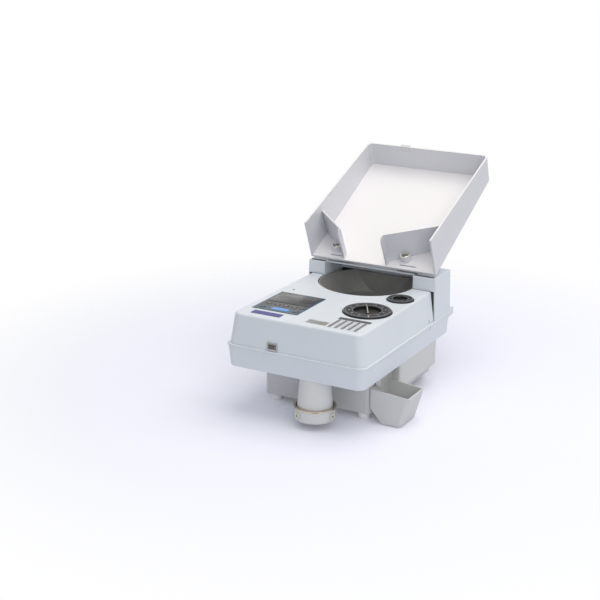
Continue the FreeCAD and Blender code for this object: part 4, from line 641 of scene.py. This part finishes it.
def screwCaps():
    caps, slotShade = bmesh.new(), bmesh.new()
    y, ribs, widest = capLook["fromLip"], capLook["ribs"], capLook["profile"][0][0]
    slotLow = capLook["profile"][-1][1] - capLook["slotSunk"]
    half = capLook["slotLong"] / 2
    for x in capLook["screws"]:
        rings = []
        for r, z in capLook["profile"]:
            points = []
            for i in range(2 * ribs):
                a = math.pi * i / ribs
                out = r * (1 + (capLook["rib"] if i % 2 else -capLook["rib"]) / widest)
                points.append((x + out * math.cos(a), y + out * math.sin(a), z))
            rings.append(points)
        joinRings(caps, rings)
        # each cross slot is a dark bar: painted shade of the slot's recess
        for dx, dy in ((half, 0.0), (0.0, half)):
            mark = bar((x - dx, y - dy), (x + dx, y + dy), capLook["slotWide"])
            addPrint(slotShade, mark, slotLow, capLook["slotTall"])
    place = Matrix.Translation((0, *capLook["lip"])) @ Matrix.Rotation(trayTilt, 4, "X")
    for name, bm, mat in (("screwCaps", caps, brightPlate), ("screwCapSlotShade", slotShade, darkInk)):
        bm.transform(place)
        newPiece(name, bm, "tray", mat)


screwCaps()

# dark cups in the hollows of the thumb studs round the collar's axis, as painted shade of the hollows:
# profile is share of the hole, and depth
studShadeLook = {"axis": (26.0, 29.0), "angles": (-115.0, -10.0, 170.0), "r": 36.2, "z": 22.65, "hole": 1.75,
            "steps": 16, "profile": ((1.0, 0.0), (0.8, -0.5), (0.3, -0.7))}


def studHollows():
    bm = bmesh.new()
    for angle in studShadeLook["angles"]:
        a = math.radians(angle)
        out, side = Vector((math.cos(a), math.sin(a), 0)), Vector((-math.sin(a), math.cos(a), 0))
        middle = Vector((*studShadeLook["axis"], studShadeLook["z"])) + out * studShadeLook["r"]
        rings = []
        for share, depth in studShadeLook["profile"]:
            ring = circle(0, 0, studShadeLook["hole"] * share, studShadeLook["steps"])
            rings.append([middle + out * depth + side * u + Vector((0, 0, v)) for u, v in ring])
        joinRings(bm, rings)
    newPiece("studHollows", bm, "collar", satinBlack)


studHollows()

# small domed lamp beside the panel: profile is share of the radius and of the rise
lampLook = {"place": (-91.0, 167.0), "r": 1.7, "rise": 0.7,
            "profile": ((1.0, 0.0), (1.0, 0.4), (0.75, 0.75), (0.35, 1.0))}


def panelLamp():
    coverTop = topMiddle("top_cover")[2]
    rings = []
    for share, lift in lampLook["profile"]:
        ring = circle(*lampLook["place"], share * lampLook["r"])
        rings.append(lying(ring, coverTop + lift * lampLook["rise"]))
    bm = bmesh.new()
    joinRings(bm, rings)
    newPiece("panelLamp", bm, "cover", satinBlack)


panelLamp()

# open-cell foam behind the vents, pressed against the inside of the wall at each depth
screenLook = {"boxes": {347.5: ((-89.5, -29.0, 128.0, 169.0), (29.0, 79.5, 128.0, 169.0),
                                (83.0, 92.0, 128.0, 169.0)),
                        327.5: ((-32.0, 32.0, 27.0, 63.0),)}, "thick": 0.9, "corner": 1.5, "soft": 0.4}


def ventScreens():
    thick, soft = screenLook["thick"], screenLook["soft"]
    bm = bmesh.new()
    for wallY, boxes in screenLook["boxes"].items():
        for box in boxes:
            levels = ((0.0, 0.0), (0.0, thick - soft), (soft, thick))
            joinRings(bm, [standing(roundRect(box, screenLook["corner"], inset), wallY - depth)
                           for inset, depth in levels])
    newPiece("ventScreens", bm, "chassis", dullRubber)


ventScreens()

# pan-head screws of the housing and the mains socket: x, z, y and radius of each, then shares of the radius
rearScrewLook = {"screws": ((-113.0, 187.0, 350.0, 2.9), (113.0, 187.0, 350.0, 2.9),
                            (-113.0, 127.0, 350.0, 2.9), (113.0, 127.0, 350.0, 2.9),
                            (-74.1, 101.0, 352.5, 1.7), (-45.9, 101.0, 352.5, 1.7)),
                 "tall": 0.55, "profile": ((1.0, 0.0), (1.0, 0.35), (0.85, 0.75), (0.55, 1.0)),
                 "slotReach": 0.5, "slotWide": 0.22, "slotLevels": (-0.2, 0.04)}


def rearScrews():
    heads, slotShade = bmesh.new(), bmesh.new()
    for x, z, y, r in rearScrewLook["screws"]:
        tall, reach, wide = (r * rearScrewLook[k] for k in ("tall", "slotReach", "slotWide"))
        joinRings(heads, [standing(circle(x, z, share * r), y + lift * tall)
                          for share, lift in rearScrewLook["profile"]])
        # each cross slot is a dark bar: painted shade of the slot's recess
        for dx, dz in ((reach, 0), (0, reach)):
            mark = bar((x - dx, z - dz), (x + dx, z + dz), wide)
            joinRings(slotShade, [standing(mark, y + tall + lift) for lift in rearScrewLook["slotLevels"]])
    newPiece("rearScrewHeads", heads, "chassis", zincSteel)
    newPiece("rearScrewSlotShade", slotShade, "chassis", darkInk)


rearScrews()

# slit at the right side where the cover's hinge pin is reached, across the seam, drawn as a dark bar as
# painted shade of the slit: z and x of the ends
slitShadeLook = {"y": 258.0, "wide": 1.0, "sunk": 0.5, "proud": 0.12,
            "slitShadeCover": ("cover", ((121.6, 122.4), (129.0, 121.3))),
            "slitShadeShell": ("chassis", ((110.5, 124.15), (116.2, 124.6)))}


def sideSlit(name):
    body, ends = slitShadeLook[name]
    front, back = slitShadeLook["y"] - slitShadeLook["wide"] / 2, slitShadeLook["y"] + slitShadeLook["wide"] / 2
    sunk, proud = -slitShadeLook["sunk"], slitShadeLook["proud"]
    outline = ((sunk, front), (proud, front), (proud, back), (sunk, back))
    bm = bmesh.new()
    joinRings(bm, [[(x + out, y, z) for out, y in outline] for z, x in ends])
    newPiece(name, bm, body, darkInk)


sideSlit("slitShadeCover")
sideSlit("slitShadeShell")

# two grip slots across the latch button, drawn as dark plates as painted shade of the slots: profile is
# inset and depth
latchSlotShadeLook = {"x": (-45.2, -32.8), "rows": (126.4, 130.4), "tall": 1.5, "corner": 0.6, "front": 0.5,
             "profile": ((0.0, 0.3), (0.0, -0.05), (0.25, -0.12))}


def latchSlots():
    half = latchSlotShadeLook["tall"] / 2
    bm = bmesh.new()
    for z in latchSlotShadeLook["rows"]:
        box = (*latchSlotShadeLook["x"], z - half, z + half)
        joinRings(bm, [standing(roundRect(box, latchSlotShadeLook["corner"], inset), latchSlotShadeLook["front"] + depth)
                       for inset, depth in latchSlotShadeLook["profile"]])
    newPiece("latchSlots", bm, "latch", satinBlack)


latchSlots()
print("seams, tapes and small parts set")

# round paper floor, slightly lifted to the eye, that fades into the white background
floorLook = {"radiusMm": 1500, "segments": 96, "fadeMm": (330, 900), "colour": "#eceefa", "lift": 0.1}


def paleFloor():
    bm = bmesh.new()
    bmesh.ops.create_circle(bm, cap_ends=True, segments=floorLook["segments"],
                            radius=floorLook["radiusMm"] * mm)
    mesh = bpy.data.meshes.new("floor")
    bm.to_mesh(mesh)
    bm.free()
    floor = bpy.data.objects.new("floor", mesh)
    bpy.context.scene.collection.objects.link(floor)
    mat = newFinish("floor_paper_white")
    place = addNode(mat, "ShaderNodeTexCoord")
    reach = addNode(mat, "ShaderNodeVectorMath", {"operation": "LENGTH"}, {0: place.outputs["Object"]})
    near, far = (reachMm * mm for reachMm in floorLook["fadeMm"])
    fade = addNode(mat, "ShaderNodeMapRange",
                   {"interpolation_type": "SMOOTHSTEP", "From Min": near, "From Max": far},
                   {"Value": reach.outputs["Value"]})
    paper = addNode(mat, "ShaderNodeBsdfDiffuse", {"Color": linear(floorLook["colour"])})
    ray = addNode(mat, "ShaderNodeLightPath")
    lift = addNode(mat, "ShaderNodeMath", {"operation": "MULTIPLY", 1: floorLook["lift"]},
                   {0: ray.outputs["Is Camera Ray"]})
    glow = addNode(mat, "ShaderNodeEmission", None, {"Strength": lift.outputs["Value"]})
    lifted = addNode(mat, "ShaderNodeAddShader", None,
                     {0: paper.outputs["BSDF"], 1: glow.outputs["Emission"]})
    clear = addNode(mat, "ShaderNodeBsdfTransparent")
    mixed = addNode(mat, "ShaderNodeMixShader", None,
                    {0: fade.outputs["Result"], 1: lifted.outputs["Shader"], 2: clear.outputs["BSDF"]})
    addNode(mat, "ShaderNodeOutputMaterial", None, {"Surface": mixed.outputs["Shader"]})
    mesh.materials.append(mat)


# soft surroundings that light the machine, white to the eye and in its reflections
worldLook = {"colour": "#eff1f4", "strength": 0.55, "seenColour": "#ffffff", "seenStrength": 1.0}


def paleWorld():
    world = bpy.data.worlds.new("studio")
    bpy.context.scene.world = world
    world.use_nodes = True
    world.node_tree.nodes.clear()
    ray = addNode(world, "ShaderNodeLightPath")
    mirrored = addNode(world, "ShaderNodeMath", {"operation": "MAXIMUM"},
                       {0: ray.outputs["Is Glossy Ray"], 1: ray.outputs["Is Transmission Ray"]})
    seen = addNode(world, "ShaderNodeMath", {"operation": "MAXIMUM"},
                   {0: ray.outputs["Is Camera Ray"], 1: mirrored.outputs["Value"]})
    soft = addNode(world, "ShaderNodeBackground",
                   {"Color": linear(worldLook["colour"]), "Strength": worldLook["strength"]})
    white = addNode(world, "ShaderNodeBackground",
                    {"Color": linear(worldLook["seenColour"]), "Strength": worldLook["seenStrength"]})
    mixed = addNode(world, "ShaderNodeMixShader", None,
                    {0: seen.outputs["Value"], 1: soft.outputs["Background"],
                     2: white.outputs["Background"]})
    addNode(world, "ShaderNodeOutputWorld", None, {"Surface": mixed.outputs["Shader"]})


# two softboxes, in metres
softboxLooks = {
    "overhead": {"size": (2.2, 2.2), "watts": 31, "colour": "#fffaf4", "place": (0.5, 0.2, 2.2),
                 "aim": (0, 0, 0.1)},
    "right_fill": {"size": (1.2, 1.6), "watts": 9, "colour": "#ffffff", "place": (1.35, -1.7, 1.0),
                   "aim": (0, 0, 0.15)},
}


def softbox(name, look):
    light = bpy.data.lights.new(name, "AREA")
    light.shape = "RECTANGLE"
    light.size, light.size_y = look["size"]
    light.energy = look["watts"]
    light.color = linear(look["colour"])[:3]
    lamp = bpy.data.objects.new(name, light)
    bpy.context.scene.collection.objects.link(lamp)
    lamp.location = look["place"]
    aim = Vector(look["aim"]) - lamp.location
    lamp.rotation_euler = aim.to_track_quat("-Z", "Y").to_euler()


# the photograph's view: place as spot() measures it, turns in degrees
photoView = {"focalPx": 1308.4, "imagePx": 600, "sensorMm": 36.0, "place": (935.4, -1702.6, 820.8),
             "yaw": 28.48, "pitch": 17.36, "roll": 0.75}


def photoCamera():
    yaw, pitch, roll = (math.radians(photoView[k]) for k in ("yaw", "pitch", "roll"))
    ahead = Vector((-math.sin(yaw) * math.cos(pitch), math.cos(yaw) * math.cos(pitch), -math.sin(pitch)))
    right = Vector((math.cos(yaw), math.sin(yaw), 0))
    up = right.cross(ahead)
    side = math.cos(roll) * right + math.sin(roll) * up
    top = math.cos(roll) * up - math.sin(roll) * right
    data = bpy.data.cameras.new("photo_camera")
    data.sensor_width = photoView["sensorMm"]
    data.lens = photoView["sensorMm"] * photoView["focalPx"] / photoView["imagePx"]
    camera = bpy.data.objects.new("photo_camera", data)
    bpy.context.scene.collection.objects.link(camera)
    turn = Matrix((side, top, -ahead)).transposed()
    camera.matrix_world = Matrix.Translation(spot(*photoView["place"])) @ turn.to_4x4()
    bpy.context.scene.camera = camera


paleFloor()
paleWorld()
for name, look in softboxLooks.items():
    softbox(name, look)
photoCamera()
bpy.context.scene.view_settings.view_transform = "Standard"
print("floor, light and camera set")
